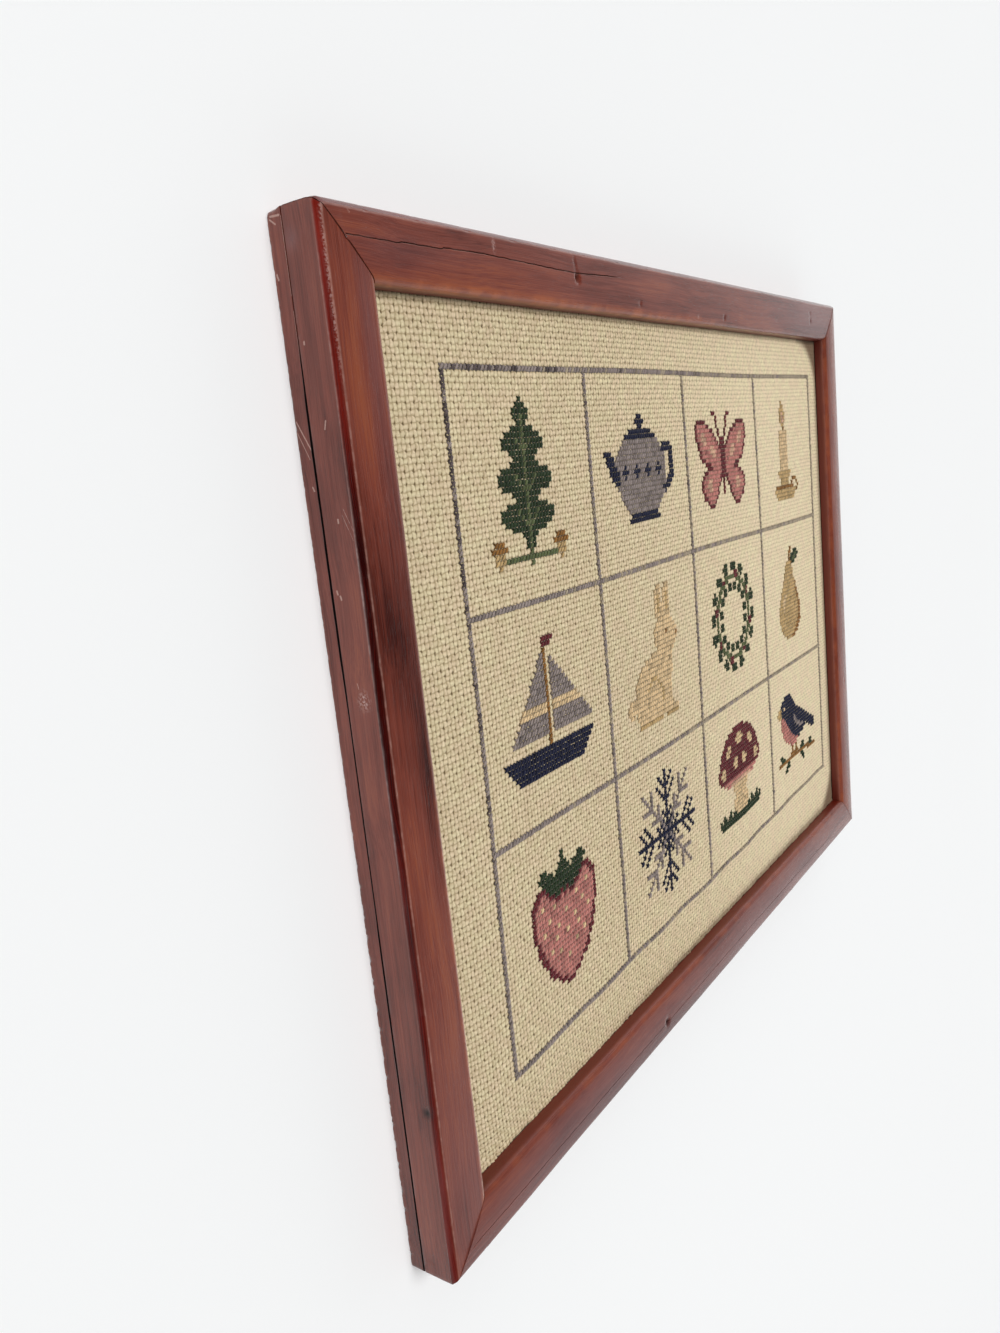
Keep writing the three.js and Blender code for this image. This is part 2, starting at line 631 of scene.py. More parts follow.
@dataclass(frozen=True)
class StainedWood:
    """Red brown stain under varnish, with its grain along one side of the frame."""

    name: str
    grain: Tree
    patchy: Tree
    scratch: Tree
    turn: float  # of the grain from X, in radians
    offset: Place  # which part of the plank shows, in millimetres
    scratches: tuple[Scratch, ...] = ()
    stains: tuple[tuple[float, Colour], ...] = (
        (0.00, (0.024, 0.0012, 0.0006)),
        (0.20, (0.056, 0.0070, 0.0035)),
        (0.50, (0.135, 0.0270, 0.0165)),
        (0.75, (0.200, 0.0460, 0.0290)),
        (1.00, (0.270, 0.0700, 0.0340)),
    )
    figuring: tuple[tuple[str, float], ...] = (  # how much each grain mask moves the tone
        ("Figure", 0.20), ("Mottle", 0.20), ("Streaks", -0.16), ("Lines", -0.16), ("Pores", -0.14),
    )
    thick_stain: Colour = (0.85, 0.24, 0.20)  # what the stain is multiplied by on the sloping band: painted shade, standing for the dark room that the band mirrors
    # Orange brown on the rounded edge round the cloth: partly rubbed wear, partly a painted highlight.
    rubbed: Colour = (0.42, 0.115, 0.040)
    # Pale pink brown for worn arrises, scratches and crack edges, and for the painted highlights along both
    # arrises.
    worn: Colour = (0.50, 0.31, 0.26)
    # Pale pink, a painted highlight along the rounded edge round the cloth.
    bare: Colour = (0.72, 0.50, 0.41)
    # Bluish grey, a painted reflection of the sky along the outer arris.
    chalk: Colour = (0.42, 0.360, 0.375)
    scraped: Colour = (0.60, 0.410, 0.370)
    # Greyish mauve over the stain: a painted reflection of the pale room in the varnish.
    bloom: Colour = (0.20, 0.105, 0.110)
    gap: Colour = (0.004, 0.0016, 0.0012)
    # Dark red brown on the wall below the rounded edge round the cloth: partly grime, partly painted shade in
    # the rebate.
    sunk: Colour = (0.130, 0.0100, 0.0035)
    scratch_share: float = 0.8
    relief_depth: float = 0.00012  # metres

    def place(self, recipe: Recipe) -> tuple[Socket, Socket]:
        """Makes the places that the patterns follow.

        Args:
            recipe: The material's recipe.

        Returns:
            A place on the frame and a place in the plank, both in millimetres.
        """
        where = recipe.stretch(recipe.node("TexCoord").outputs["Object"], (1 / MM,) * 3)
        mapping = {"Vector": where, "Rotation": (0, 0, self.turn), "Location": self.offset}
        return where, recipe.node("Mapping", mapping).outputs["Vector"]

    def material(self) -> Material:
        """Makes the wood's material.

        Returns:
            The finished material.
        """
        material, recipe, surface = start_material(self.name)
        where, place = self.place(recipe)
        grain = recipe.group(self.grain, {"Place": place})

        def wear(name: str, size: float, broken: float, whole: float) -> Socket:
            """Works out how much of a mask of wear and painted highlight shows, broken into patches.

            Args:
                name: The mask.
                size: How fine the patches are that it breaks into.
                broken: How much of it is in patches.
                whole: How much of it is everywhere.

            Returns:
                The share.
            """
            mask = recipe.mask(name)
            patches = recipe.group(self.patchy, {"Mask": mask, "Place": place, "Grain": size})["Wear"]
            return recipe.line(patches, broken, recipe.times(mask, whole))

        tone = recipe.mask("tone")
        for name, share in self.figuring:
            tone = recipe.line(recipe.math("SUBTRACT", grain[name], 0.5), share, tone)
        stain = recipe.ramp(tone, self.stains)
        scratches = []
        for scratch in self.scratches:
            inputs = {"Place": where, "Start": scratch.start, "End": scratch.end, "Width": scratch.width}
            mark = recipe.group(self.scratch, inputs)["Mask"]
            scratches.append((recipe.times(mark, self.scratch_share), self.worn))
        stain = recipe.lay(stain, (
            # The sloping band is painted darker: painted shade, standing for the dark room that it mirrors.
            (recipe.mask("band"), recipe.stretch(stain, self.thick_stain)),
            # A greyish mauve painted reflection of the pale room.
            (recipe.mask("bloom"), self.bloom),
            # Partly rubbed wear, partly a painted highlight on the rounded edge round the cloth.
            (wear("sight", 0.12, 0.55, 0.25), self.rubbed),
            # Pale lines along the arrises: partly wear, partly a painted highlight with a painted bluish sky
            # reflection.
            (wear("arris", 0.4, 0.45, 0.55), recipe.blend(recipe.mask("chalky"), self.worn, self.chalk)),
            (wear("scuff", 1.7, 1.0, 0.0), self.scraped),
            *scratches,
            (recipe.mask("lip"), self.worn),
            # A painted highlight along the turn of the rounded edge round the cloth.
            (wear("rim", 0.7, 0.6, 0.3), self.bare),
            # Painted shade in the rebate, partly grime.
            (recipe.mask("recess"), self.sunk),
            (recipe.mask("split"), self.gap),
        ))
        dull = recipe.math("MAXIMUM", recipe.times(recipe.mask("recess"), 0.5), recipe.mask("split"))
        rough = recipe.line(grain["Streaks"], 0.08, 0.17)
        for mask, share in ((recipe.mask("sight"), 0.10), (recipe.mask("band"), -0.08), (dull, 0.45)):
            rough = recipe.line(mask, share, rough)
        height = recipe.noise(recipe.stretch(place, (0.04, 0.35, 0.35)), 1, 2)
        for name, share in (("Streaks", -0.35), ("Lines", -0.20), ("Pores", -0.35)):
            height = recipe.line(grain[name], share, height)
        normal = recipe.bump(height, 0.35, self.relief_depth)
        recipe.feed(surface, {"Base Color": stain, "Roughness": rough, "Normal": normal})
        return material


@dataclass(frozen=True)
class BeigeEvenweave:
    """Matt beige cloth of paired threads, woven like a basket.

    A pair of shares holds how much of a colour shows where the cloth is slack, and where it is taut. Shade in
    the weave's holes, seams and valleys, and along the lip, is painted.
    """

    weave: Tree
    sand: Colour = (0.97, 0.860, 0.575)
    rose: Colour = (0.97, 0.795, 0.565)
    shade: Colour = (0.11, 0.070, 0.026)
    # Dusky brown for slubs and block tones, and for the painted shade in the weave's valleys, between its
    # pillows and along the lip.
    soil: Colour = (0.44, 0.330, 0.180)
    gloom: Colour = (0.10, 0.045, 0.022)
    block_share: tuple[float, float] = (0.42, 0.25)
    valley_share: tuple[float, float] = (0.30, 0.12)
    between_share: tuple[float, float] = (0.80, 0.32)
    hole_share: tuple[float, float] = (0.95, 0.37)
    slub_share: float = 0.12
    line_share: float = 0.14
    grime_share: float = 0.5
    gloom_share: float = 0.85
    relief_depth: float = 0.00022  # metres

    def material(self) -> Material:
        """Makes the cloth's material.

        Returns:
            The finished material.
        """
        material, recipe, surface = start_material("beige_evenweave")
        place = recipe.node("UVMap", uv_map=CLOTH_MAP).outputs["UV"]
        weave = recipe.group(self.weave, {"Place": place})
        taut = recipe.mask("taut")

        def eased(value: Socket, shares: tuple[float, float]) -> Socket:
            """Returns a value times its share, which changes as the cloth grows taut."""
            return recipe.times(value, recipe.line(taut, shares[1] - shares[0], shares[0]))

        yarn = recipe.blend(recipe.rise(recipe.noise(place, 0.31, 3), 0.35, 0.65), self.sand, self.rose)
        slub = recipe.rise(recipe.noise(recipe.stretch(place, (2.2, 0.5, 1)), 1, 3), 0.3, 0.75)
        yarn = recipe.lay(yarn, (
            (recipe.times(slub, self.slub_share), self.soil),
            (eased(weave["Block"], self.block_share), self.soil),
            # Painted shade in the valleys of the relief and between the pillows.
            (eased(recipe.inverse(weave["Relief"]), self.valley_share), self.soil),
            (eased(recipe.inverse(weave["Pillow"]), self.between_share), self.soil),
            (recipe.times(weave["Lines"], self.line_share), self.shade),
            (eased(weave["Holes"], self.hole_share), self.shade),
            # Painted shadow along the lip, deepest under the top rail.
            (recipe.times(recipe.mask("grime"), self.grime_share), self.soil),
            (recipe.times(recipe.mask("gloom"), self.gloom_share), self.gloom),
        ))
        fuzz = recipe.noise(recipe.stretch(place, (9, 9, 9)), 1, 2)
        height = recipe.math("ADD", weave["Relief"], recipe.times(fuzz, 0.5))
        recipe.feed(surface, {
            "Base Color": yarn, "Normal": recipe.bump(height, 0.7, self.relief_depth),
            "Roughness": 0.93, "Specular IOR Level": 0.2, "Sheen Weight": 0.10,
        })
        return material


@dataclass(frozen=True)
class StrandedCotton:
    """Embroidery cotton of one colour, a little lustrous."""

    name: str
    colour: Colour
    twist: Tree
    low: float = 0.42  # the darkest tint, also the painted shade in the twist, as a share of its colour
    high: float = 1.30
    lift: float = 0.006  # added to each part of the palest tint
    sunk: float = 0.35  # its painted shade where it goes into a hole, as a share
    dark_ends: float = 0.45  # how much of that shows
    # how much painted shade shows in the grooves of the twist
    dark_twist: float = 0.22
    relief_depth: float = 0.00008  # metres

    def material(self) -> Material:
        """Makes the thread's material.

        Returns:
            The finished material.
        """
        material, recipe, surface = start_material("cotton_" + self.name)
        place = recipe.node("UVMap", uv_map=STITCH_MAP).outputs["UV"]
        thread = recipe.group(self.twist, {"Place": place})
        low, sunk = (tuple(share * part for part in self.colour) for share in (self.low, self.sunk))
        high = tuple(min(1, self.high * part + self.lift) for part in self.colour)
        dye = recipe.lay(recipe.blend(recipe.mask("tint"), low, high), (
            (recipe.times(recipe.inverse(thread["Relief"]), self.dark_twist), low),
            (recipe.times(thread["Ends"], self.dark_ends), sunk),
        ))
        recipe.feed(surface, {
            "Base Color": dye, "Normal": recipe.bump(thread["Relief"], 0.6, self.relief_depth),
            "Roughness": 0.55, "Specular IOR Level": 0.35, "Sheen Weight": 0.25, "Sheen Roughness": 0.4,
        })
        return material


@dataclass(frozen=True)
class PaperSweep:
    """The pale surface that the piece lies on."""

    shade: Colour = (0.972, 0.982, 0.985)
    dimmer: float = 0.985

    def material(self) -> Material:
        """Makes the floor's material.

        Returns:
            The finished material.
        """
        material, recipe, surface = start_material("paper_sweep")
        clouds = recipe.noise(recipe.node("TexCoord").outputs["Object"], 0.8, 2)
        dim = tuple(self.dimmer * part for part in self.shade)
        tone = recipe.blend(recipe.rise(clouds, 0.3, 0.7), dim, self.shade)
        recipe.feed(surface, {"Base Color": tone, "Roughness": 0.9, "Specular IOR Level": 0.1})
        return material


# The wooden frame


class Side(Enum):
    """The four sides of the frame, each with its turn from the lower one, in quarter turns."""

    BOTTOM = 0
    RIGHT = 1
    TOP = 2
    LEFT = 3

    @property
    def label(self) -> str:
        """Returns the side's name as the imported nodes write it."""
        return self.name.lower()

    @property
    def turn(self) -> float:
        """Returns the turn about Z that brings a lower length to this side, in radians."""
        return self.value * math.pi / 2


class Face(Enum):
    """The faces of a length that show marks, from the outer side inwards."""

    OUTER_SIDE = "outer side"
    BAND = "sloping band"
    FRONT = "front"


@dataclass(frozen=True)
class Mark:
    """An oval place on one face of a length. Along runs from its middle, in its own direction."""

    along: float
    across: float  # inset from the outer side, or height over the back on the outer side itself
    half_length: float
    half_width: float
    face: Face = field(default=Face.FRONT, kw_only=True)

    def fade(self, points: Array, sharpness: float = 1.0) -> Array:
        """Works out how strong the mark is.

        Args:
            points: The length's vertices.
            sharpness: How fast it fades towards its edge.

        Returns:
            A number from 0 to 1 for each vertex, on whichever face that lies.
        """
        across = points[:, 2 if self.face is Face.OUTER_SIDE else 1]
        away = ((points[:, 0] - self.along) / self.half_length) ** 2
        away += ((across - self.across) / self.half_width) ** 2
        return np.exp(-sharpness * away)


@dataclass(frozen=True)
class Dent(Mark):
    """A hollow pressed or broken into a length."""

    depth: float
    sooty: float = 0.0  # how dark its hollow is painted


@dataclass(frozen=True)
class Scuff(Mark):
    """A place where the varnish is rubbed pale."""

    face: Face = field(default=Face.OUTER_SIDE, kw_only=True)


@dataclass(frozen=True)
class Patch(Mark):
    """A place where the stain is lighter or darker, or where a greyish mauve sheen is painted, a painted
    reflection of the pale room in the varnish.
    """

    lighter: float = 0.0  # on the scale of the stains, so below 0 it is darker
    # how much painted mauve sheen shows, a painted reflection of the pale room
    bloomed: float = 0.0


@dataclass(frozen=True)
class Rub:
    """A stretch of the outer arris that is painted pale: partly wear, partly a painted highlight."""

    along: float
    half_length: float
    strength: float
    # how much of its pale line is a painted bluish sky reflection
    chalky: float = 0.0

    def fade(self, along: Array) -> Array:
        """Returns how strong it is at places along the length, from 0 to 1."""
        return bell(along - self.along, self.half_length)


@dataclass(frozen=True)
class Crack:
    """A split along the front, through places of along and inset."""

    path: tuple[tuple[float, float], ...]
    half_width: float
    depth: float
    darkness: float = 1.0
    lip: float = 0.0  # how pale its edge nearer the cloth is
    tails: tuple[float, float] = (6, 14)  # lengths over which it fades in and out

    @property
    def inset(self) -> float:
        """Returns the inset at which its lines are first cut."""
        return self.path[0][1]

    def fade(self, along: Array) -> Array:
        """Returns how open the crack is at places along the length, from 0 to 1."""
        first, last = self.path[0][0], self.path[-1][0]
        return smooth_step((along - first) / self.tails[0]) * smooth_step((last - along) / self.tails[1])

    def is_middle(self, inset: Array) -> Array:
        """Says which vertices were cut on its middle line."""
        return abs(inset - self.inset) < self.half_width / 2


@dataclass(frozen=True)
class Marks:
    """Everything that age has done to one length."""

    cracks: tuple[Crack, ...] = ()
    dents: tuple[Dent, ...] = ()
    scuffs: tuple[Scuff, ...] = ()
    patches: tuple[Patch, ...] = ()
    rubs: tuple[Rub, ...] = ()
    steps: tuple[tuple[float, float], ...] = ()  # along, and how much wider the band is beyond it
    front_tone: float = 0.62
    side_tone: float = 0.50
    # The sloping band's tone is lower, as painted shade.
    band_tone: float = 0.40
    sight_rub: float = 1.0  # how rubbed the rounded edge round the cloth is, and how strongly a highlight is painted on it
    sight_from: float = NOWHERE  # where along the length that begins
    wall_shade: float = 1.0  # how dark the painted shade on the wall below that edge is, partly grime
    wall_from: float = 1.1  # how far below the front that begins
    rim_wear: float = 0.0  # how strongly a pale highlight is painted along that edge's turn
    nibbled_to: float = NOWHERE  # where along the length the inner arris stops being nibbled
    inner_wear: float = 0.30  # how strongly a pale highlight is painted along the inner arris
    closed_to: float = NOWHERE  # where along the length the glue joint stops being filled
    filled_dark: float = 0.15  # how dark the joint is where glue fills it

    def joint(self, along: Array) -> Array:
        """Returns how dark the glue joint is at places along the length."""
        return self.filled_dark + (1 - self.filled_dark) * smooth_step((along - self.closed_to) / 10)


@dataclass(kw_only=True)
class Length:
    """One mitred length of wood, modelled along X with its outer side on y = 0."""

    side: Side
    kind: str
    finish: StainedWood
    marks: Marks = field(default_factory=Marks)
    open_left: float = 0.3  # room left at the mitre on its -X end
    open_right: float = 0.3
    blunt_left: float = 0.9  # rounding of the frame's upright corner at its -X end
    blunt_right: float = 0.9
    least_blunt: float = 0.7  # rounding of both upright corners half way up
    step: float = 0.8  # between cross lines of the finished mesh
    dent_sharpness: float = 1.3

    def __post_init__(self) -> None:
        """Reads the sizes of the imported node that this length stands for."""
        self.node = f"{self.kind}_{self.side.label}"
        low, high = (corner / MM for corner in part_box(self.node))
        outer_low, outer_high = (corner / MM for corner in CAD_BOX)
        size, outer = high - low, outer_high - outer_low
        level = self.side in (Side.BOTTOM, Side.TOP)
        self.length = outer.x if level else outer.y
        self.reach = (outer.y if level else outer.x) / 2
        self.width = size.y if level else size.x
        self.back, self.top = low.z, high.z
        self.seed = 10 * self.side.value + len(self.kind)

    def build(self, name: str) -> Piece:
        """Models the length and puts it in its place.

        Args:
            name: Name of the new piece.

        Returns:
            The finished piece.
        """
        piece = self.plank(name)
        self.cut_mitres(piece)
        self.divide(piece)
        self.points = read_points(piece)
        self.along, self.inset, self.height = self.points.T.copy()  # as they were cut
        write_masks(piece, **self.wear_masks(), **self.age())
        write_points(piece, self.points)
        self.place(piece)
        piece.data.materials.append(self.finish.material())
        settle(piece, BODY, "stained_wood", self.node)
        return piece

    def waver(self, number: int, *lengths: float) -> Waver:
        """Returns one of the length's own uneven lines."""
        return Waver(self.seed + number, lengths)

    def plank(self, name: str) -> Piece:
        """Models the section over the full length. Each kind of length has its own."""
        raise NotImplementedError

    def wear_masks(self) -> dict[str, Array]:
        """Works out where the wood is worn, rounded or hidden, and where light and shade are painted on it.
        Each kind of length has its own.
        """
        raise NotImplementedError

    def age(self) -> dict[str, Array]:
        """Makes the length uneven and returns the masks that come of it. Each kind has its own."""
        raise NotImplementedError

    def cut_lines(self, wanted: Callable[[Vector, Vector], bool], axis: int, places: Sequence[float]) -> None:
        """Cuts lengthwise lines into some of the edited piece's faces.

        Args:
            wanted: Takes a face's middle and normal, and says whether it is cut.
            axis: 1 for lines at insets, 2 for lines at heights.
            places: The insets or heights.
        """
        normal = Vector((0, axis == 1, axis == 2))
        for at in places:
            pick_faces(wanted)
            bpy.ops.mesh.bisect(plane_co=normal * at, plane_no=normal)

    def cut_mitres(self, piece: Piece) -> None:
        """Cuts both ends to 45 degrees.

        Args:
            piece: The length to cut.
        """
        with editing(piece):
            for end, room in ((-1, self.open_left), (1, self.open_right)):
                bpy.ops.mesh.select_all(action="SELECT")
                bpy.ops.mesh.bisect(
                    plane_co=(end * (self.length / 2 - room / math.sqrt(2)), 0, 0),
                    plane_no=Vector((end, 1, 0)).normalized(),
                    use_fill=True,
                    clear_outer=True,
                )

    def divide(self, piece: Piece) -> None:
        """Divides the length across, evenly from mitre to mitre.

        Args:
            piece: The length to divide.
        """
        first = 99
        with editing(piece):
            pick_edges(lambda _middle, run: abs(run.x) > self.length / 2)
            bpy.ops.mesh.subdivide(number_cuts=first)
            pick_edges(lambda _middle, run: runs_along_x(run))
            bpy.ops.mesh.subdivide(number_cuts=max(1, round(self.length / (first + 1) / self.step) - 1))

    def blunt(self) -> None:
        """Rounds the frame's upright corners at both ends, mostly near the back and the front."""
        x, _y, height = self.points.T
        near_ends = smooth_step((5.0 - height) / 3.5) + smooth_step((height - 13.0) / 3.5)
        for end, most in ((-1, self.blunt_left), (1, self.blunt_right)):
            size = self.least_blunt + (most - self.least_blunt) * near_ends
            from_corner = self.length / 2 - end * x - self.inset
            near_end = np.clip(1 - from_corner / size, 0, 1) ** 2
            shift = 0.29 * size * near_end * np.clip(1 - self.inset / size, 0, 1)
            self.points[:, 0] -= end * shift
            self.points[:, 1] += shift

    def spread(self, face: Face) -> tuple[Array, Array]:
        """Works out what the patches on one face do to the stain.

        Args:
            face: The face.

        Returns:
            How much lighter each vertex is, and how much painted mauve sheen it carries.
        """
        lighter, bloomed = np.zeros(len(self.points)), np.zeros(len(self.points))
        for patch in self.marks.patches:
            if patch.face is face:
                share = patch.fade(self.points)
                lighter += patch.lighter * share
                bloomed += patch.bloomed * share
        return lighter, bloomed

    def place(self, piece: Piece) -> None:
        """Turns the length to its side of the frame and brings it to metres.

        Args:
            piece: The length, modelled along X in millimetres.
        """
        piece.rotation_euler.z = self.side.turn
        piece.location = Matrix.Rotation(self.side.turn, 3, "Z") @ Vector((0, -self.reach, 0)) * MM
        piece.scale = (MM,) * 3
        bpy.ops.object.select_all(action="DESELECT")
        bpy.context.view_layer.objects.active = piece
        piece.select_set(True)
        bpy.ops.object.transform_apply(location=True, rotation=True, scale=True)
        bpy.ops.object.shade_smooth_by_angle(angle=math.radians(32))


@dataclass(kw_only=True)
class Moulding(Length):
    """A length of the moulding, with a sloping band outside, a rounded edge inside and a rebate."""

    kind: str = "rail"
    band: float = 1.7  # of the sloping band, each way
    crown: float = 0.45
    bulge: float = 0.45  # of the front between its arrises
    sight_round: float = 2.4
    lip_width: float = 6.6
    lip_depth: float = 6.4
    inner_arris: float = 0.36  # rounding between the front and the band
    outer_arris: float = 0.14  # rounding between the band and the side
    glue_arris: float = 0.12
    lip_arris: float = 0.25
    front_line_gap: float = 0.66

    def __post_init__(self) -> None:
        """Adds the moulding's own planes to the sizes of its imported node."""
        super().__post_init__()
        self.front = self.top - self.crown  # plane of the two arrises
        self.low_arris = self.front - self.band
        self.lip_back = self.top - self.lip_depth
        self.rebate_side = self.width - self.lip_width
        self.flat_end = self.width - self.sight_round

    def plank(self, name: str) -> Piece:
        """Models the moulding's section over the full length.

        Args:
            name: Name of the new piece.

        Returns:
            The piece, with square ends.
        """
        half = self.length / 2
        piece = add_block(name, (-half, 0, self.back), (half, self.rebate_side, self.front))
        with editing(piece):
            bpy.ops.mesh.select_all(action="SELECT")
            bpy.ops.mesh.bisect(plane_co=(0, 0, self.lip_back), plane_no=(0, 0, 1))
            pick_faces(lambda middle, normal: normal.y > 0.9 and middle.z > self.lip_back)
            bpy.ops.mesh.extrude_region_move(TRANSFORM_OT_translate={"value": (0, self.lip_width, 0)})
            for inset, height, size, segments, profile in (
                (0, self.front, self.band, 5, 0.28),
                (self.width, self.front, self.sight_round, 7, 0.5),
                (self.band, self.front, self.inner_arris, 3, 0.5),
                (0, self.low_arris, self.outer_arris, 2, 0.5),
                (0, self.back, self.glue_arris, 1, 0.5),
                (self.width, self.lip_back, self.lip_arris, 1, 0.5),
            ):
                self.round_edge(inset, height, size, segments, profile)
            self.line_faces()
        return piece

    def line_faces(self) -> None:
        """Cuts lines along the front, the outer side and the inner wall, for the shaping that follows."""
        lines = np.arange(self.band + 0.6, self.flat_end - 0.3, self.front_line_gap)
        cuts = [
            crack.inset + share * crack.half_width
            for crack in self.marks.cracks for share in (-1, 0, 1, 2.3)
        ]
        for crack in self.marks.cracks:
            lines = lines[abs(lines - crack.inset) > 0.45]
        side_lines = np.arange(self.back + 1.1, self.low_arris - 0.9, 1.0)
        self.cut_lines(
            lambda middle, normal: normal.z > 0.98 and middle.z > self.front - 0.1,
            1, sorted([*lines, *cuts]),
        )
        self.cut_lines(
            lambda middle, normal: normal.y < -0.98 and middle.y < 0.1,
            2, [*side_lines, self.low_arris - 0.4],
        )
        self.cut_lines(
            lambda middle, normal: normal.y > 0.98 and middle.y > self.width - 0.1,
            2, (self.lip_back + 1.2, self.lip_back + 2.4),
        )

    def round_edge(self, inset: float, height: float, size: float, segments: int, profile: float) -> None:
        """Bevels the lengthwise edge that lies at an inset and a height.

        Args:
            inset: Its distance from the outer side.
            height: Its distance from the frame's back.
            size: Width of the bevel.
            segments: How many faces it gets.
            profile: 0.5 is round and 0.25 is flat.
        """
        found = pick_edges(
            lambda middle, run: runs_along_x(run)
            and abs(middle.y - inset) < 0.02 and abs(middle.z - height) < 0.02
        )
        if found != 1:
            raise ValueError(f"{found} edges lie at inset {inset:g} and height {height:g}")
        bpy.ops.mesh.bevel(offset=size, offset_type="OFFSET", segments=segments, profile=profile)

    def wear_masks(self) -> dict[str, Array]:
        """Works out the stain's tone with painted shade on the sloping band, where the arrises are worn or
        carry painted highlights, and where painted shade darkens the wood.

        Returns:
            The masks, by their names.
        """
        marks, along, inset, height = self.marks, self.along, self.inset, self.height
        on_side = (inset < NEAR) & (height < self.low_arris + NEAR)
        on_band = (inset < self.band - 0.05) & (height > self.low_arris - 0.05) & ~on_side
        (side, side_sheen), (band, _sheen), (front, front_sheen) = (self.spread(face) for face in Face)
        side, band, front = side + marks.side_tone, band + marks.band_tone, front + marks.front_tone
        # Towards the inner arris the band's painted shade fades into the front's tone.
        band = band + (front - band) * smooth_step((inset / self.band - 0.70) / 0.28)
        rubbed = sum(rub.strength * rub.fade(along) for rub in marks.rubs)
        chalky = sum(rub.chalky * rub.fade(along) for rub in marks.rubs)
        # Pale lines along both arrises: the outer one partly wear, partly a painted highlight and painted sky
        # reflection; the inner one a painted highlight.
        outer = bell(np.hypot(inset, height - self.low_arris), 0.18) * np.clip(rubbed, 0, 1)
        inner = bell(np.hypot(inset - self.band, height - self.front), 0.25) * marks.inner_wear
        # The rounded edge round the cloth is painted orange: partly rubbed wear, partly a painted highlight.
        rounded = smooth_step((inset - self.flat_end + 1.2) / 2.6)
        rounded *= height > self.front - self.sight_round - 0.2
        rounded *= marks.sight_rub * (0.12 + 0.88 * smooth_step((along - marks.sight_from) / 40))
        # A painted highlight along the turn of the rounded edge round the cloth.
        rim = smooth_step((inset - self.flat_end - 0.42) / 0.6)
        rim *= smooth_step((height - self.front + 1.3) / 0.5)
        rim *= marks.rim_wear * (0.12 + 0.88 * smooth_step((along + 50) / 60))
        # The wall below the rounded edge is painted darker: painted shade in the rebate, partly grime.
        wall = smooth_step((self.front - marks.wall_from - height) / 2.4) * marks.wall_shade
        nibbled = bell(np.hypot(inset - self.band + 0.35, height - self.front + 0.35), 0.34)
        nibbled *= 0.45 * smooth_step((marks.nibbled_to - along) / 18)
        return {
            "tone": np.select([on_side, on_band], [side, band], front),
            "bloom": np.select([on_side, on_band], [side_sheen, 0], front_sheen),
            # Painted shade over the outer part of the sloping band.
            "band": np.where(on_band, 1 - smooth_step((inset / self.band - 0.62) / 0.32), 0),
            "arris": np.maximum(outer, inner),
            "chalky": np.clip(chalky, 0, 1) * (inset < 1),
            "sight": rounded,
            "rim": rim,
            "recess": np.where(inset > self.rebate_side + 0.5, wall, 0),
            "scuff": np.maximum(nibbled, self.scuffed()),
        }

    def scuffed(self) -> Array:
        """Works out how rubbed the length is.

        Returns:
            A number from 0 to 1 for each vertex.
        """
        rubbed = np.zeros(len(self.points))
        for scuff in self.marks.scuffs:
            shown = self.inset > 1 if scuff.face is Face.FRONT else self.inset < 1
            rubbed = np.maximum(rubbed, scuff.fade(self.points) * shown)
        return rubbed

    def age(self) -> dict[str, Array]:
        """Makes the moulding uneven, then cracks and dents it.

        Returns:
            How dark it is in its cracks, and how pale their edges are.
        """
        points, along, inset, height = self.points, self.along, self.inset, self.height
        share = (inset - self.band) / (self.flat_end - self.band)
        on_front = (height > self.front - 0.15) & (share > 0) & (share < 1)
        points[:, 2] += np.where(on_front, 4 * self.bulge * share * (1 - share), 0)
        lean = self.waver(0, 310, 140, 61).at(along)
        points[:, 2] += np.where(height > self.lip_back + 1, 0.10 * lean - 0.10, 0)
        near_band = bell(inset - self.band, 2.2) * (height > self.front - 0.9)
        points[:, 1] += 0.16 * near_band * Waver(self.seed + 1).at(along)
        for start, wider in self.marks.steps:
            points[:, 1] += wider * near_band * smooth_step((along - start) / 0.9)
        near_side = (inset < NEAR) & (height < self.low_arris + 0.1)
        hollow = 0.5 + 0.5 * self.waver(2, 120, 47, 21).at(along + 7 * height)
        points[:, 1] += np.where(near_side, 0.12 * hollow, 0)
        sight_edge = smooth_step((inset - self.flat_end + 1) / 2)
        points[:, 1] -= 0.22 * sight_edge * (0.5 + 0.5 * self.waver(3, 90, 37, 15).at(along))
        for crack in self.marks.cracks:
            self.open_crack(crack, on_front)
        self.press(on_front | (height > self.front - 2.4))
        self.chip()
        self.blunt()
        return {"split": self.split_mask(on_front), "lip": self.lip_mask(on_front)}

    def press(self, near_front: Array) -> None:
        """Presses the dents in.

        Args:
            near_front: Which vertices a dent in the front moves.
        """
        for dent in self.marks.dents:
            front = dent.face is Face.FRONT
            where = near_front if front else self.points[:, 1] < 1
            hollow = np.where(where, dent.fade(self.points, self.dent_sharpness), 0) * dent.depth
            self.points[:, 2 if front else 1] += -hollow if front else hollow

    def open_crack(self, crack: Crack, on_front: Array) -> None:
        """Bends the front's lines to a crack and sinks the middle one.

        Args:
            crack: The crack to open.
            on_front: Which vertices lie on the front.
        """
        places, insets = np.array(crack.path).T
        goes = np.interp(self.along, places, insets)
        jitter = self.waver(5, 9, 5.3, 3.1).at(self.along) * 0.10
        inside = on_front & (self.along > places[0]) & (self.along < places[-1])
        pull = np.clip(1 - abs(self.inset - crack.inset) / 3.4, 0, 1)
        self.points[:, 1] += np.where(inside, (goes - crack.inset + jitter) * pull, 0)
        uneven = 0.65 + 0.35 * self.waver(6, 33, 14, 6).at(self.along)
        sunk = inside & crack.is_middle(self.inset)
        self.points[:, 2] -= np.where(sunk, crack.depth * crack.fade(self.along) * uneven, 0)

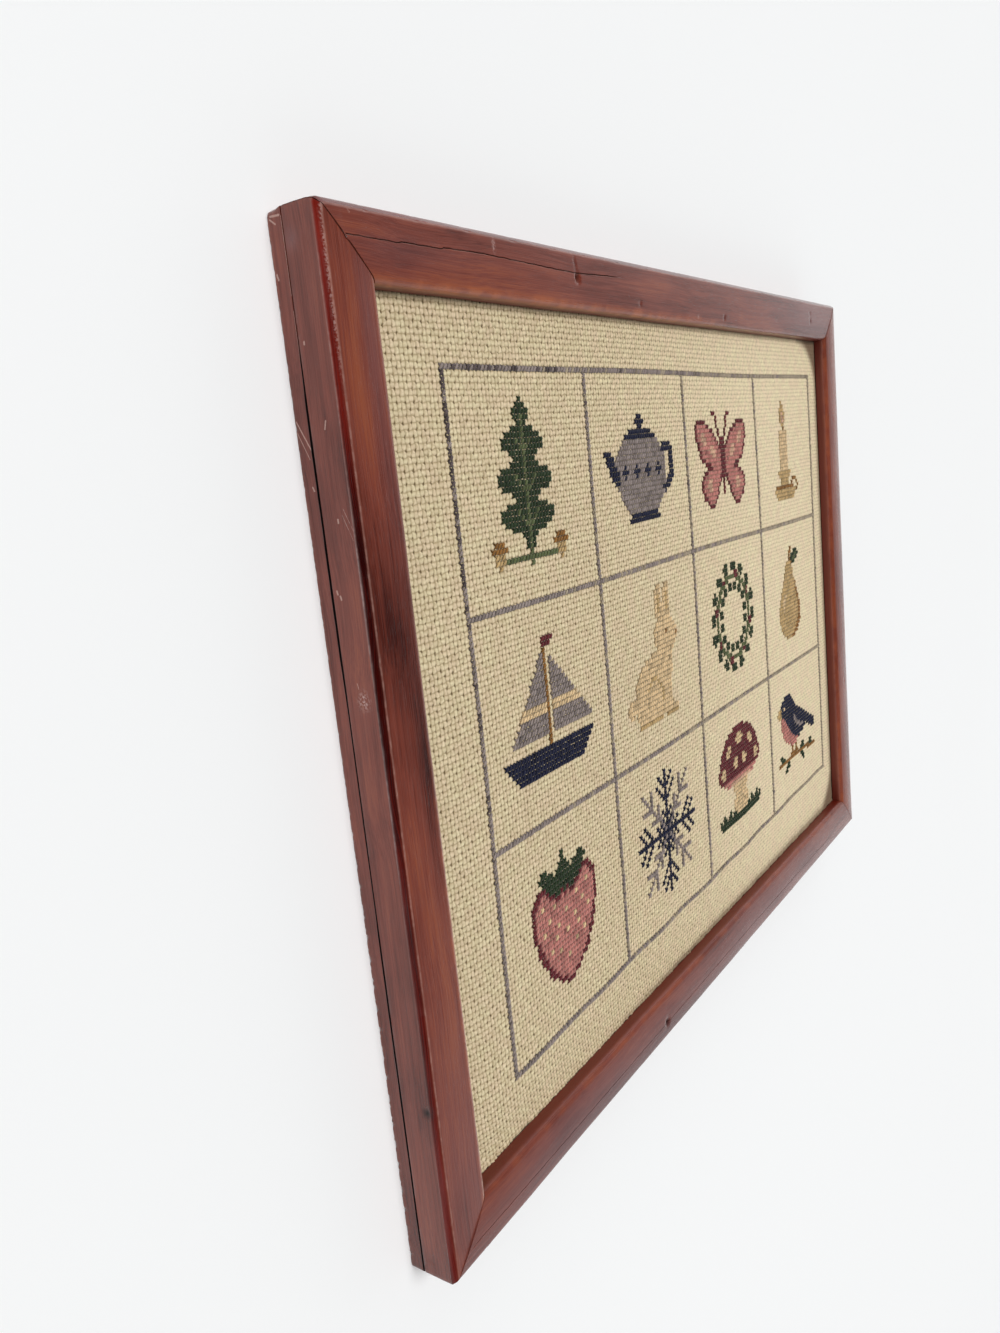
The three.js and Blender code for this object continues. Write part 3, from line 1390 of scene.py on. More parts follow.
    def split_mask(self, on_front: Array) -> Array:
        """Works out how dark the wood is down in its cracks, knot holes and glue joint.

        Args:
            on_front: Which vertices lie on the front.

        Returns:
            A number from 0 to 1 for each vertex.
        """
        along, _inset, height = self.points.T
        in_joint = (self.inset > NEAR) & (height < self.back + 0.05)
        dark = in_joint * self.marks.joint(along)
        for crack in self.marks.cracks:
            middle = on_front * crack.is_middle(self.inset)
            dark = np.maximum(dark, crack.darkness * crack.fade(along) * middle)
        for dent in self.marks.dents:
            shown = on_front if dent.face is Face.FRONT else self.inset < 1
            dark = np.maximum(dark, dent.sooty * dent.fade(self.points, self.dent_sharpness) * shown)
        return dark

    def lip_mask(self, on_front: Array) -> Array:
        """Works out how pale the edges of the cracks are.

        Args:
            on_front: Which vertices lie on the front.

        Returns:
            A number from 0 to 1 for each vertex.
        """
        pale = np.zeros(len(self.points))
        broken = 0.6 + 0.4 * self.waver(7, 26, 11, 5).at(self.along)
        for crack in self.marks.cracks:
            edge = on_front * (abs(self.inset - crack.inset - crack.half_width) < NEAR)
            pale = np.maximum(pale, crack.lip * crack.fade(self.along) * edge * broken)
        return pale

    def chip(self) -> None:
        """Knocks small chips off both arrises."""
        bite = np.clip(self.waver(8, 23, 11, 4.7, 2.9).at(self.along) - 0.42, 0, 1)
        inner = (abs(self.inset - self.band) < 0.3) & (self.height > self.front - 0.3)
        outer = (self.inset < 0.3) & (abs(self.height - self.low_arris) < 0.3)
        self.points[:, 2] -= np.where(inner, 0.35 * bite, 0) + np.where(outer, 0.12 * bite, 0)
        self.points[:, 1] += np.where(outer, 0.12 * bite, 0)


@dataclass(kw_only=True)
class BackStrip(Length):
    """A thin strip glued behind the moulding, with a rough rear edge."""

    kind: str = "strip"
    rough: float = 0.2  # depth of the nibbles in its rear edge
    rough_from: float = NOWHERE  # where along the edge they begin
    glue_edge: float = 0.12
    rear_edge: float = 0.25
    gapes: tuple[Place, ...] = ()  # where the glue joint opens, from and to, and how much
    step: float = 1.3

    def plank(self, name: str) -> Piece:
        """Models the strip's section over the full length.

        Args:
            name: Name of the new piece.

        Returns:
            The piece, with square ends.
        """
        half = self.length / 2
        piece = add_block(name, (-half, 0, self.back), (half, self.width, self.top))
        with editing(piece):
            for height, size in ((self.back, self.rear_edge), (self.top, self.glue_edge)):
                pick_edges(lambda middle, run, at=height: runs_along_x(run) and abs(middle.z - at) < EPSILON)
                bpy.ops.mesh.bevel(offset=size, offset_type="OFFSET", segments=2, profile=0.5)
            side_lines = np.arange(self.back + 0.9, self.top - 0.5, 0.8)
            self.cut_lines(lambda middle, normal: normal.y < -0.98 and middle.y < 0.1, 2, side_lines)
            self.cut_lines(lambda middle, normal: normal.z < -0.98, 1, (1.2, 2.6, 5.0, 8.0))
        return piece

    def wear_masks(self) -> dict[str, Array]:
        """Works out the strip's tone and where it is worn or hidden.

        Returns:
            The masks, by their names.
        """
        lighter, bloomed = self.spread(Face.OUTER_SIDE)
        in_joint = (self.inset > NEAR) & (self.height > self.top - 0.15)
        return {
            "tone": self.marks.side_tone + lighter,
            "bloom": bloomed,
            "arris": 0.3 * bell(np.hypot(self.inset, self.height - self.back), 0.4),
            "split": in_joint * self.marks.joint(self.along),
        }

    def age(self) -> dict[str, Array]:
        """Makes the strip uneven, nibbles its rear edge and opens its glue joint.

        Returns:
            No masks.
        """
        points, along, inset, height = self.points, self.along, self.inset, self.height
        uneven = 0.06 + 0.06 * self.waver(2, 150, 52, 19).at(along)
        points[:, 1] += np.where(inset < NEAR, uneven, 0)
        nibble = np.clip(self.waver(4, 7.3, 3.1, 1.9).at(along) + 0.1, 0, 1)
        nibble *= 0.3 + 0.7 * smooth_step((along - self.rough_from) / 60)
        bite = self.rough * 1.6 * nibble * bell(np.hypot(inset, height - self.back), 0.7)
        points[:, 1:] += bite[:, None]
        uneven = 0.8 + 0.2 * self.waver(9, 31, 13, 6).at(along)
        for first, last, drop in self.gapes:
            open_there = smooth_step((along - first) / 10) * smooth_step((last - along) / 20)
            points[:, 2] -= drop * open_there * uneven * (inset < 1) * (height > self.top - 0.3)
        self.blunt()
        return {}


# What age has done to each length. Each length runs its own way.

TOP_SPLIT = Crack(
    (
        (46, 6.3), (62, 6.8), (80.4, 7.6), (96, 7.6), (109, 7.3), (122, 7.1), (136, 6.9),
        (152.6, 7.3), (153.4, 7.7), (170.5, 7.8), (171.3, 8.1), (192.0, 8.1),
    ),
    half_width=0.19, depth=0.7, lip=0.6, tails=(14, 0.8),
)

TOP_MARKS = Marks(
    cracks=(TOP_SPLIT,),
    dents=(
        Dent(80.6, 9.0, 1.0, 1.25, 2.2, sooty=1.0),
        Dent(81.4, 4.6, 0.5, 2.4, 0.30, sooty=0.35),
        Dent(35.9, 14.3, 1.0, 0.8, 0.30),
        Dent(-43.0, 14.9, 0.9, 1.2, 0.35, sooty=0.25),
        Dent(-157.1, 6.5, 0.9, 0.8, 0.25, sooty=0.2),
        Dent(-157.4, 10.4, 1.0, 1.4, 0.35, sooty=0.35),
        Dent(70.0, 18.0, 6.5, 0.35, 0.45, sooty=0.6),
    ),
    scuffs=(Scuff(128, 3.6, 0.6, 1.6, face=Face.FRONT), Scuff(-15.5, 16.0, 0.5, 0.7, face=Face.FRONT)),
    patches=(
        Patch(110, 15.6, 90, 2.6, 0.16),
        Patch(150, 9, 22, 4, 0.08, 0.10),
        Patch(175, 10, 16, 6, -0.10, 0.20),
        Patch(-165, 10, 55, 14, -0.08, 0.50),
        Patch(112, 9, 16, 2.0, -0.08),
    ),
    rubs=(Rub(0, 400, 0.3, chalky=0.6),),
    front_tone=0.56,
    sight_from=-50,
)

BOTTOM_LINE = Crack(
    ((-192, 7.0), (-140, 6.9), (-57.9, 7.2), (0, 7.5), (90, 7.2), (160, 6.6)),
    half_width=0.16, depth=0.35,
)

BOTTOM_MARKS = Marks(
    cracks=(BOTTOM_LINE,),
    dents=(Dent(-57.9, 7.4, 1.5, 1.6, 0.8, sooty=0.9),),
    patches=(
        Patch(-60, 3.5, 160, 3.2, -0.16, 0.16),
        Patch(60, 9, 120, 12, 0, 0.42),
        Patch(-130, 9, 60, 12, -0.08, 0.34),
    ),
    front_tone=0.55,
    sight_rub=0.30,
    wall_from=0.4,
)

LEFT_MARKS = Marks(
    dents=tuple(
        Dent(*sizes, face=Face.OUTER_SIDE) for sizes in (
            (93.0, 14.1, 1.8, 1.5, 0.30, 1.0), (141.9, 9.6, 0.7, 0.5, 0.45, 0.6),
            (143.4, 8.6, 0.5, 0.9, 0.35, 0.4), (-141.1, 7.6, 1.7, 1.5, 0.18, 0.15),
        )
    ),
    scuffs=(Scuff(-26.3, 11.1, 1.9, 1.5),),
    patches=(
        Patch(-40, 9, 32, 20, -0.54),
        Patch(-2, 15.0, 26, 4.0, -0.20),
        Patch(-3, 15.2, 9, 0.8, -0.25),
        Patch(-98, 9, 24, 20, -0.10),
        Patch(24, 9, 20, 20, -0.10),
        Patch(115, 9, 50, 20, -0.08, 0.20),
        Patch(-82, 15, 22, 4, -0.16, 0.14),
        Patch(-118, 13.5, 22, 3.0, -0.10, 0.30),
        Patch(-105, 7, 18, 5, 0.16),
        Patch(15, 7, 26, 6, 0.06),
        *(
            Patch(*sizes, face=Face.OUTER_SIDE) for sizes in (
                (-140.8, 6.9, 2.6, 2.0, 0.10, 0.38), (-85, 14.5, 12, 3.4, -0.20), (-60, 8, 30, 3.5, -0.07),
                (-95, 9, 16, 4.0, -0.06), (-12, 8, 24, 9, 0.10),
            )
        ),
        # Along the sloping band the painted shade is deeper in some places and paler in others.
        *(
            Patch(along, 0, half_length, 9, lighter, face=Face.BAND)
            for along, half_length, lighter in (
                (-50, 32, -0.52), (-8, 22, -0.30), (26, 16, -0.18), (-105, 14, 0.12), (-140, 14, 0.22),
                (80, 26, -0.08), (130, 30, 0.08),
            )
        ),
    ),
    rubs=(Rub(-54, 22, 0.75, 0.45), Rub(-118, 36, 0.50), Rub(4, 24, 0.5, 0.5), Rub(80, 60, 0.10)),
    steps=((-26.3, -0.08), (62, 0.10)),
    front_tone=0.70,
    sight_from=-20,
    rim_wear=0.9,
    nibbled_to=-102,
    inner_wear=0.5,
    closed_to=-120,
)

RIGHT_MARKS = Marks(
    dents=(Dent(-60, 8.0, 1.2, 0.9, 0.25), Dent(88, 11.5, 0.8, 0.8, 0.25)),
    patches=(Patch(30, 10, 40, 8, -0.10), Patch(-90, 9, 60, 9, 0, 0.20)),
    sight_rub=0.35,
    wall_shade=0.85,
)

RAIL_MARKS = {
    Side.BOTTOM: BOTTOM_MARKS, Side.RIGHT: RIGHT_MARKS, Side.TOP: TOP_MARKS, Side.LEFT: LEFT_MARKS,
}
STRIP_PATCHES = {Side.LEFT: (Patch(115, 2.4, 60, 9, -0.14, face=Face.OUTER_SIDE),)}

# The forms of the lengths, where they differ from their classes

BLUNT_CORNERS = {Side.TOP: {"blunt_right": 2.4}, Side.LEFT: {"blunt_left": 2.4}}
RAIL_FORMS = {
    Side.TOP: {"open_left": 0.04, "open_right": 0.34, "bulge": 0.36},
    Side.LEFT: {"open_left": 0.34, "open_right": 0.05, "bulge": 0.12},
    Side.BOTTOM: {"open_left": 0.05, "open_right": 0.08},
    Side.RIGHT: {"open_left": 0.08, "open_right": 0.04},
}
STRIP_FORMS = {
    Side.LEFT: {
        "glue_edge": 0.18, "gapes": ((-110, -22, 0.42), (34, 170, 0.22)),
        "step": 0.65, "rough": 0.22, "rough_from": -10,
    },
}

# Scratches, flecks and beads of glue


def scratch_side(*rows: tuple[float, float, float, float, float]) -> tuple[Scratch, ...]:
    """Makes scratches on the frame's left side.

    Args:
        rows: Y and Z where each begins, Y and Z where it ends, and its width.

    Returns:
        The scratches.
    """
    side = CAD_BOX[0].x / MM
    return tuple(Scratch((side, y, z), (side, to_y, to_z), width) for y, z, to_y, to_z, width in rows)


def fleck_front(*rows: Place) -> tuple[Scratch, ...]:
    """Makes flecks on the frame's front, from rows of X, Y and width."""
    return tuple(Scratch((x, y, 17.4), (x + 0.3, y - 0.2, 17.4), width) for x, y, width in rows)


SCRATCHES = {
    ("rail", Side.LEFT): (
        *scratch_side(
            (95.7, 10.0, 97.7, 10.6, 0.22), (73.4, 10.3, 72.6, 10.3, 0.30), (55.3, 6.6, 54.5, 6.8, 0.34),
            (53.9, 7.6, 53.1, 7.8, 0.34), (116.9, 6.9, 116.4, 6.9, 0.30), (31.0, 9.4, 29.6, 9.7, 0.14),
            (74.5, 11.9, 68.0, 14.6, 0.10), (76.0, 12.5, 70.3, 15.0, 0.10),
        ),
        *fleck_front(
            (-188.0, 44.7, 0.22), (-186.2, 69.1, 0.14), (-186.0, 38.5, 0.14), (-195.0, 16.8, 0.14),
            (-195.9, 1.3, 0.16), (-189.2, -5.3, 0.24), (-196.8, 48.0, 0.16),
        ),
        Scratch((-198.6, 0.2, 16.9), (-197.6, 3.2, 17.3), 0.16),
        Scratch((-196.2, 26.9, 17.3), (-194.6, 30.6, 17.5), 0.14),
    ),
    ("strip", Side.LEFT): scratch_side(
        (98.4, 0.5, 90.8, 4.5, 0.20), (95.8, 0.3, 88.8, 3.5, 0.14), (147.0, 1.2, 146.8, 4.2, 0.30),
        (146.3, 0.9, 145.0, 2.6, 0.22), (133.6, 0.8, 132.4, 1.2, 0.30), (81.9, 3.1, 81.0, 3.5, 0.26),
        (146.5, 4.8, 128.0, 4.8, 0.13), (124.5, 4.8, 113.0, 4.8, 0.13),
    ),
    ("rail", Side.TOP): (
        Scratch((-189.6, 146.9, 17.3), (-189.0, 146.2, 17.3), 0.4),
        Scratch((-191.4, 147.0, 17.2), (-189.6, 147.1, 17.2), 0.15),
    ),
}


@dataclass
class WoodenFrame:
    """Four lengths of moulding and the four strips glued behind them."""

    grain: Tree
    patchy: Tree
    scratch: Tree
    strip_mitre: float = 0.1  # room left in it
    strip_lighter: float = 0.02  # than the side of the moulding

    def finish(self, kind: str, side: Side) -> StainedWood:
        """Chooses the stained wood of one length, cut from its own part of the plank.

        Args:
            kind: The kind of length.
            side: Its side of the frame.

        Returns:
            The finish.
        """
        return StainedWood(
            f"{kind}_{side.label}_wood", self.grain, self.patchy, self.scratch, turn=-side.turn,
            offset=(211.0 * side.value + 37, 53.0 * side.value, 29.0 * len(kind)),
            scratches=SCRATCHES.get((kind, side), ()),
        )

    def build(self) -> list[Piece]:
        """Builds all eight lengths.

        Returns:
            The finished pieces.
        """
        pieces = []
        for side in Side:
            marks, corners = RAIL_MARKS[side], BLUNT_CORNERS.get(side, {})
            rail = Moulding(
                side=side, finish=self.finish("rail", side), marks=marks, **corners, **RAIL_FORMS[side],
            )
            pieces.append(rail.build(f"moulding_{side.label}"))
            strip_marks = Marks(
                patches=STRIP_PATCHES.get(side, ()), closed_to=marks.closed_to,
                side_tone=marks.side_tone + self.strip_lighter,
            )
            strip = BackStrip(
                side=side, finish=self.finish("strip", side), marks=strip_marks, open_left=self.strip_mitre,
                open_right=self.strip_mitre, **corners, **STRIP_FORMS.get(side, {}),
            )
            pieces.append(strip.build(f"back_strip_{side.label}"))
        return pieces


# The cloth

CLOTH_MAP = "threads"
STITCH_MAP = "stitch"
CAD_CLOTH_THICKNESS = 2.0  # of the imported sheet


@dataclass
class Cloth:
    """One sheet of evenweave, held all round behind the lip, a little slack and out of square."""

    weave: Tree
    pitch: float = 1.814  # of one stitch
    thickness: float = 1.6
    rise: float = 0.9  # middle of the cloth, above its held edges
    slack_rise: float = 0.35  # loose waves along the lower edge
    slack_pitch: float = 46
    slack_reach: float = 55
    lip_width: float = 6.6
    hole_drop: float = 0.42  # of every second hole
    slight_drop: float = 0.12  # of the others
    block_rise: float = 0.26
    corner_round: float = 28.0  # of the shade in both right corners
    nubs: float = 0.7  # of the thick threads along the lower lip
    taut_loss: float = 0.70  # share of the relief that goes where the cloth is taut

    def __post_init__(self) -> None:
        """Reads the sheet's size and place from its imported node."""
        first, last = (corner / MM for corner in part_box("cloth"))
        self.width, self.height = last.x - first.x, last.y - first.y
        self.columns = 2 * math.floor(self.width / self.pitch / 2)
        self.rows = 2 * math.floor(self.height / self.pitch / 2)
        low = min(vertex.co.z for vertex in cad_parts["cloth"].data.vertices)
        self.level = round(low / MM, 3) + CAD_CLOTH_THICKNESS  # of its upper face where it is held

    def lift(self, x: Array, y: Array) -> Array:
        """Works out the height of the cloth over its held edges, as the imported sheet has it.

        Args:
            x: Places to the picture's right of its middle.
            y: Places towards the picture's top.

        Returns:
            The heights.
        """
        across = 1 - (2 * x / self.width) ** 2
        along = 1 - (2 * y / self.height) ** 2
        reach = np.clip((y + self.height / 2 - self.lip_width) / self.slack_reach, 0, 1)
        wave = np.cos(2 * math.pi * x / self.slack_pitch)
        return self.rise * across * along + self.slack_rise * 4 * reach * (1 - reach) * across * wave

    def pull(self, x: Array, y: Array) -> tuple[Array, Array]:
        """Moves places on the true weave to where the stretched cloth has them.

        Args:
            x: Places to the picture's right of its middle.
            y: Places towards the picture's top.

        Returns:
            The same places, out of square as the cloth is.
        """
        down = np.clip((self.height / 2 - 25 - y) / (self.height - 50), 0, 1)
        held = smooth_step((self.width / 2 - abs(x)) / 30) * smooth_step((self.height / 2 - abs(y)) / 26)
        skew = 0.024 * x * down**4
        sag = -1.8 * np.sin(down * math.pi / 2) ** 2
        lean = -2.4 * down * (1 - (x / 190) ** 2)
        drift = 0.24 * np.sin(x / 31 + y / 47) + 0.22 * np.sin(y / 19 - x / 83)
        return x + held * (lean + drift), y + held * (skew + sag + drift)

    def surface(self, x: Array, y: Array) -> Array:
        """Returns the middle height of the cloth's upper face."""
        return self.level + self.lift(x, y)

    def build(self) -> Piece:
        """Models the sheet, block by block, and settles it.

        Returns:
            The finished sheet.
        """
        bpy.ops.object.select_all(action="DESELECT")
        bpy.ops.mesh.primitive_grid_add(x_subdivisions=self.columns, y_subdivisions=self.rows, size=1)
        sheet = bpy.context.active_object
        sheet.name = sheet.data.name = "evenweave_sheet"
        sheet.scale = (self.columns * self.pitch, self.rows * self.pitch, 1)
        bpy.ops.object.transform_apply(location=True, rotation=True, scale=True)
        with editing(sheet):
            bpy.ops.mesh.select_all(action="SELECT")
            bpy.ops.mesh.extrude_region_move(TRANSFORM_OT_translate={"value": (0, 0, self.thickness)})
            bpy.ops.mesh.select_all(action="SELECT")
            bpy.ops.mesh.normals_make_consistent(inside=False)
            pick_faces(lambda middle, normal: normal.z > 0.5 and middle.z > self.thickness / 2)
            bpy.ops.mesh.poke()
        write_map(sheet, CLOTH_MAP, read_points(sheet)[:, :2] / self.pitch)
        self.settle_points(sheet)
        sheet.data.materials.append(BeigeEvenweave(self.weave).material())
        bpy.ops.object.shade_smooth()
        settle(sheet, BODY, "evenweave_cloth", "cloth")
        return sheet

    def settle_points(self, sheet: Piece) -> None:
        """Sinks the holes, raises the blocks, stretches the sheet over its place and keeps its shades.

        Args:
            sheet: The flat sheet, in millimetres.
        """
        points = read_points(sheet)
        x, y, z = points.T.copy()
        column, row = x / self.pitch, y / self.pitch
        is_hole = abs(column - np.round(column)) < 0.1
        is_strong = (np.round(column) + np.round(row)) % 2 > 0.5
        upper = z > self.thickness / 2
        draw = np.random.default_rng(77)
        uneven = draw.uniform(0.5, 1.4, len(x))
        drop = np.where(is_strong, self.hole_drop, self.slight_drop)
        taut = smooth_step((x + 90) / 210)
        relief = np.where(is_hole, -drop, self.block_rise) * uneven * upper * (1 - self.taut_loss * taut)
        from_foot = np.maximum(y + self.height / 2 - self.lip_width, 0)
        relief += draw.uniform(-0.5, 0.9, len(x)) * self.nubs * np.exp(-from_foot / 1.6) * upper
        x, y = self.pull(x, y)
        heights = self.surface(x, y) - self.thickness + z + relief
        write_points(sheet, np.column_stack([x, y, heights]) * MM)

        from_right = self.width / 2 - x - self.lip_width
        from_ends = self.height / 2 - abs(y) - self.lip_width
        from_top = self.height / 2 - y - self.lip_width
        near_lip = np.minimum(self.width / 2 - abs(x), self.height / 2 - abs(y)) - self.lip_width
        # Painted shadow on the cloth along the lip, deeper under the top rail.
        grime = 0.35 * np.exp(-np.maximum(near_lip, 0)) + 0.3 * np.exp(-np.maximum(from_top, 0))
        turn = self.corner_round
        inside = np.hypot(np.maximum(turn - from_right, 0), np.maximum(turn - from_ends, 0))
        corners = smooth_step((inside - turn + 3.5) / 6.5) * (from_right < turn)
        at_wall = 0.70 * bell(np.maximum(from_right, 0), 2.8)
        at_foot = 0.8 * bell(from_foot, draw.uniform(1.6, 2.8, len(x))) * smooth_step((x + 120) / 90)
        gloom = np.maximum.reduce([corners, at_wall, at_foot])
        write_masks(sheet, grime=np.clip(grime, 0, 1), taut=taut, gloom=gloom)


# The stitches


class Mirror(Enum):
    """How a chart's rows are completed."""

    NONE = 0
    ACROSS = 1  # the rows begin with the middle column and hold the right half
    BOTH = 2  # as ACROSS, and the rows hold the upper half and the middle row


@dataclass(frozen=True)
class Motif:
    """One small figure charted in stitches, a letter for each thread."""

    name: str
    chart: str
    mirror: Mirror = Mirror.NONE

    def rows(self) -> list[str]:
        """Completes the chart.

        Returns:
            Its rows, from its top, all equally long.
        """
        rows = self.chart.split()
        width = max(len(row) for row in rows)
        rows = [row.ljust(width, ".") for row in rows]
        if self.mirror is not Mirror.NONE:
            rows = [row[:0:-1] + row for row in rows]
        if self.mirror is Mirror.BOTH:
            rows += rows[-2::-1]
        return rows


@dataclass
class Cross:
    """One cross stitch: two legs of stranded thread, each sunk into its holes at both ends."""

    pitch: float
    leg_width: float = 0.92
    leg_height: float = 0.34
    length_share: float = 0.98  # length of a leg, as a share of the stitch's diagonal
    knee_share: float = 0.45  # where a leg bends down, as a share of half its length
    top_share: float = 0.54  # width of its top, as a share of its foot
    ridge_drop: float = 0.42  # of the faces beside its ridge, as a share of its height
    end_share: float = 0.50  # width at its ends, as a share of its middle
    sink: float = 0.30
    under_lift: float = -0.02
    over_lift: float = 0.20

    def leg(self, name: str, turn: float, lift: float) -> Piece:
        """Models one leg by pulling a block to shape.

        Args:
            name: Name of the leg.
            turn: Its turn about Z, in radians.
            lift: How far its middle stands over the cloth.

        Returns:
            The leg, over the middle of its stitch.
        """
        half = self.pitch * math.sqrt(2) / 2 * self.length_share
        leg = add_block(name, (-half, -self.leg_width / 2, 0), (half, self.leg_width / 2, self.leg_height))
        with editing(leg):
            for at in (-half * self.knee_share, half * self.knee_share):
                bpy.ops.mesh.select_all(action="SELECT")
                bpy.ops.mesh.bisect(plane_co=(at, 0, 0), plane_no=(1, 0, 0))
            pick_faces(lambda _middle, normal: normal.z > 0.9)
            bpy.ops.transform.resize(value=(1, self.top_share, 1))
            pick_faces(lambda _middle, normal: normal.z > 0.9)
            bpy.ops.mesh.bisect(plane_co=(0, 0, 0), plane_no=(0, 1, 0))
            bpy.ops.transform.translate(value=(0, 0, -self.leg_height * self.ridge_drop))
            for end in (-1, 1):
                pick_faces(lambda middle, normal, end=end: normal.x * end > 0.9)
                bpy.ops.transform.resize(value=(1, self.end_share, 0.7))
                bpy.ops.transform.translate(value=(0, 0, -self.sink - lift))
            bpy.ops.mesh.select_all(action="SELECT")
            bpy.ops.transform.translate(value=(0, 0, lift))
        points = read_points(leg)
        write_map(leg, STITCH_MAP, points[:, :2] / (2 * half, self.leg_width) + 0.5)
        leg.rotation_euler.z = turn
        bpy.ops.object.transform_apply(location=True, rotation=True, scale=True)
        return leg

    def build(self) -> Piece:
        """Models both legs and joins them.

        Returns:
            The cross, over the middle of its stitch.
        """
        under = self.leg("under_leg", -math.pi / 4, self.under_lift)
        over = self.leg("over_leg", math.pi / 4, self.over_lift)
        bpy.ops.object.select_all(action="DESELECT")
        under.select_set(True)
        over.select_set(True)
        bpy.context.view_layer.objects.active = over
        bpy.ops.object.join()
        return over


@dataclass
class StitchWork:
    """Works charts in cross stitch over the cloth, each as one joined mesh."""

    cloth: Cloth
    cross: Piece
    cottons: dict[str, Material]
    tilt: float = 0.05  # radians; this and the next three are the usual differences between stitches
    slack: float = 0.05
    stray: float = 0.035
    swell: float = 0.10
    tint: float = 0.55
    tint_spread: float = 0.20
    # The over leg is painted lighter and the under leg darker, as light and shade.
    over_lighter: float = 0.26
    under_darker: float = 0.34

    def __post_init__(self) -> None:
        """Takes the stitch's mesh apart into arrays."""
        data = self.cross.data
        self.points = read_points(self.cross)
        self.faces = [tuple(face.vertices) for face in data.polygons]
        maps = np.empty(len(data.loops) * 2, np.float32)
        data.uv_layers[STITCH_MAP].data.foreach_get("uv", maps)
        self.maps = maps.reshape(-1, 2)

    def work(self, name: str, stitches: Stitches, width: float = 1.0) -> Piece:
        """Works a list of stitches, each a little unlike the others.

        Args:
            name: Name of the new piece.
            stitches: The stitches.
            width: How wide they are, as a share of the usual one.

        Returns:
            The finished piece.
        """
        draw = np.random.default_rng(len(stitches) * 13 + len(name))
        count, size = len(stitches), len(self.points)
        cells = np.array([(column + 0.5, row + 0.5) for column, row, _thread in stitches]) * self.cloth.pitch
        turn = draw.normal(0, self.tilt, count)[:, None]
        spread = width * draw.normal(1, self.slack, count)[:, None]
        x, y, z = self.points.T
        across = (x * np.cos(turn) - y * np.sin(turn)) * spread + cells[:, :1]
        up = (x * np.sin(turn) + y * np.cos(turn)) * spread + cells[:, 1:]
        across += draw.normal(0, self.stray, count)[:, None]
        up += draw.normal(0, self.stray, count)[:, None]
        across, up = self.cloth.pull(across, up)
        height = self.cloth.surface(across, up) + z * draw.normal(1, self.swell, count)[:, None]
        points = np.stack([across, up, height], axis=2).reshape(-1, 3) * MM
        faces = [tuple(corner + size * n for corner in face) for n in range(count) for face in self.faces]
        mesh = bpy.data.meshes.new(name)
        mesh.from_pydata(points.tolist(), [], faces)
        layer = mesh.uv_layers.new(name=STITCH_MAP)
        layer.data.foreach_set("uv", np.tile(self.maps, (count, 1)).ravel())
        threads = sorted({thread for _column, _row, thread in stitches})
        for thread in threads:
            mesh.materials.append(self.cottons[thread])
        numbers = np.array([threads.index(thread) for _column, _row, thread in stitches])
        mesh.polygons.foreach_set("material_index", np.repeat(numbers, len(self.faces)))
        mesh.polygons.foreach_set("use_smooth", np.ones(len(faces), bool))
        mesh.update()
        piece = bpy.data.objects.new(name, mesh)
        bpy.context.scene.collection.objects.link(piece)
        is_over = np.arange(size) < size // 2
        tint = draw.normal(self.tint, self.tint_spread, count)[:, None]
        # The over leg is painted lighter and the under leg darker, as light and shade.
        tint = tint + np.where(is_over, self.over_lighter, -self.under_darker)
        write_masks(piece, tint=np.clip(tint, 0, 1).ravel())
        settle(piece, BODY, "stranded_cotton")
        return piece


OAK_SPRIG = Motif("oak_sprig", """
G
GG
GGG
LGG
LG
LGGG
LGGGGG
LGLGGGG
LLGGGGG
LGGGG
LGGG
LGGGG
LGGGGGGG
LGGLGGGGG
LGLGGGGGG
LLGGGGGG
LGGGG
LGGG
LGGGGGG
LGGLGGGGG
LGLGGGGGG
LLGGGGGG
LGGGGG
LGG
LG.......BBB
LG......BBBBB.
L........YYY
LLLLLLLLLYYY
L.........Y
""", Mirror.ACROSS)

TEAPOT = Motif("teapot", """
...............NN
..............NNNN
...............NN
...........NNNNNNNNNN
.........NNNNNNNNNNNNNN
........SSSSSSSSSSSSSSSS
.......SSSSSSSSSSSSSSSSSS.NNNN
NNN...SSSSSSSSSSSSSSSSSSSNNNNNN
.NNN.SSSSSSSSSSSSSSSSSSSSSS..NN
.NNNSSSSSSSSSSSSSSSSSSSSSSS..NN
..NNNSSSNSSSSNSSSSNSSSSNSSS..NN
..NNNNSNNNSSNNNSSNNNSSNNNSS..NN
...NNNSSNSSSSNSSSSNSSSSNSSS..NN
....NNSSSSSSSSSSSSSSSSSSSSS.NNN
.....SSSSSSSSSSSSSSSSSSSSSSNNN
......SSSSSSSSSSSSSSSSSSSNNNN
......SSSSSSSSSSSSSSSSSSSSN
.......SSSSSSSSSSSSSSSSSS
........SSSSSSSSSSSSSSSS
.........SSSSSSSSSSSSSS
..........NNNNNNNNNNNN
.........NNNNNNNNNNNNNN
""")

BUTTERFLY = Motif("butterfly", """
....MM
...M
...M......MMMMM
...M....MMPPPPPM
..M...MMPPPPPPPM
..M..MPPPPPRRPPM
MM..MPPPPPRRRPPM
MM.MPPPPPPRRPPM
MMMPPPRRPPPPPPM
MMPPPRRRPPPPPM
MMPPPRRPPPPPPM
MMPPPPPPPPPMM
MMPPPPPPMMM
MMPPPPPMMM
MMPPPPPPPPMM
MMMPPPPPPPPPM
M.MPPPPPRRPPPM
M..MPPPPRRRPPM
M...MPPPRRPPPM
M...MPPPPPPPM
.....MPPPPPMM
......MPPPM
.......MMM
""", Mirror.ACROSS)

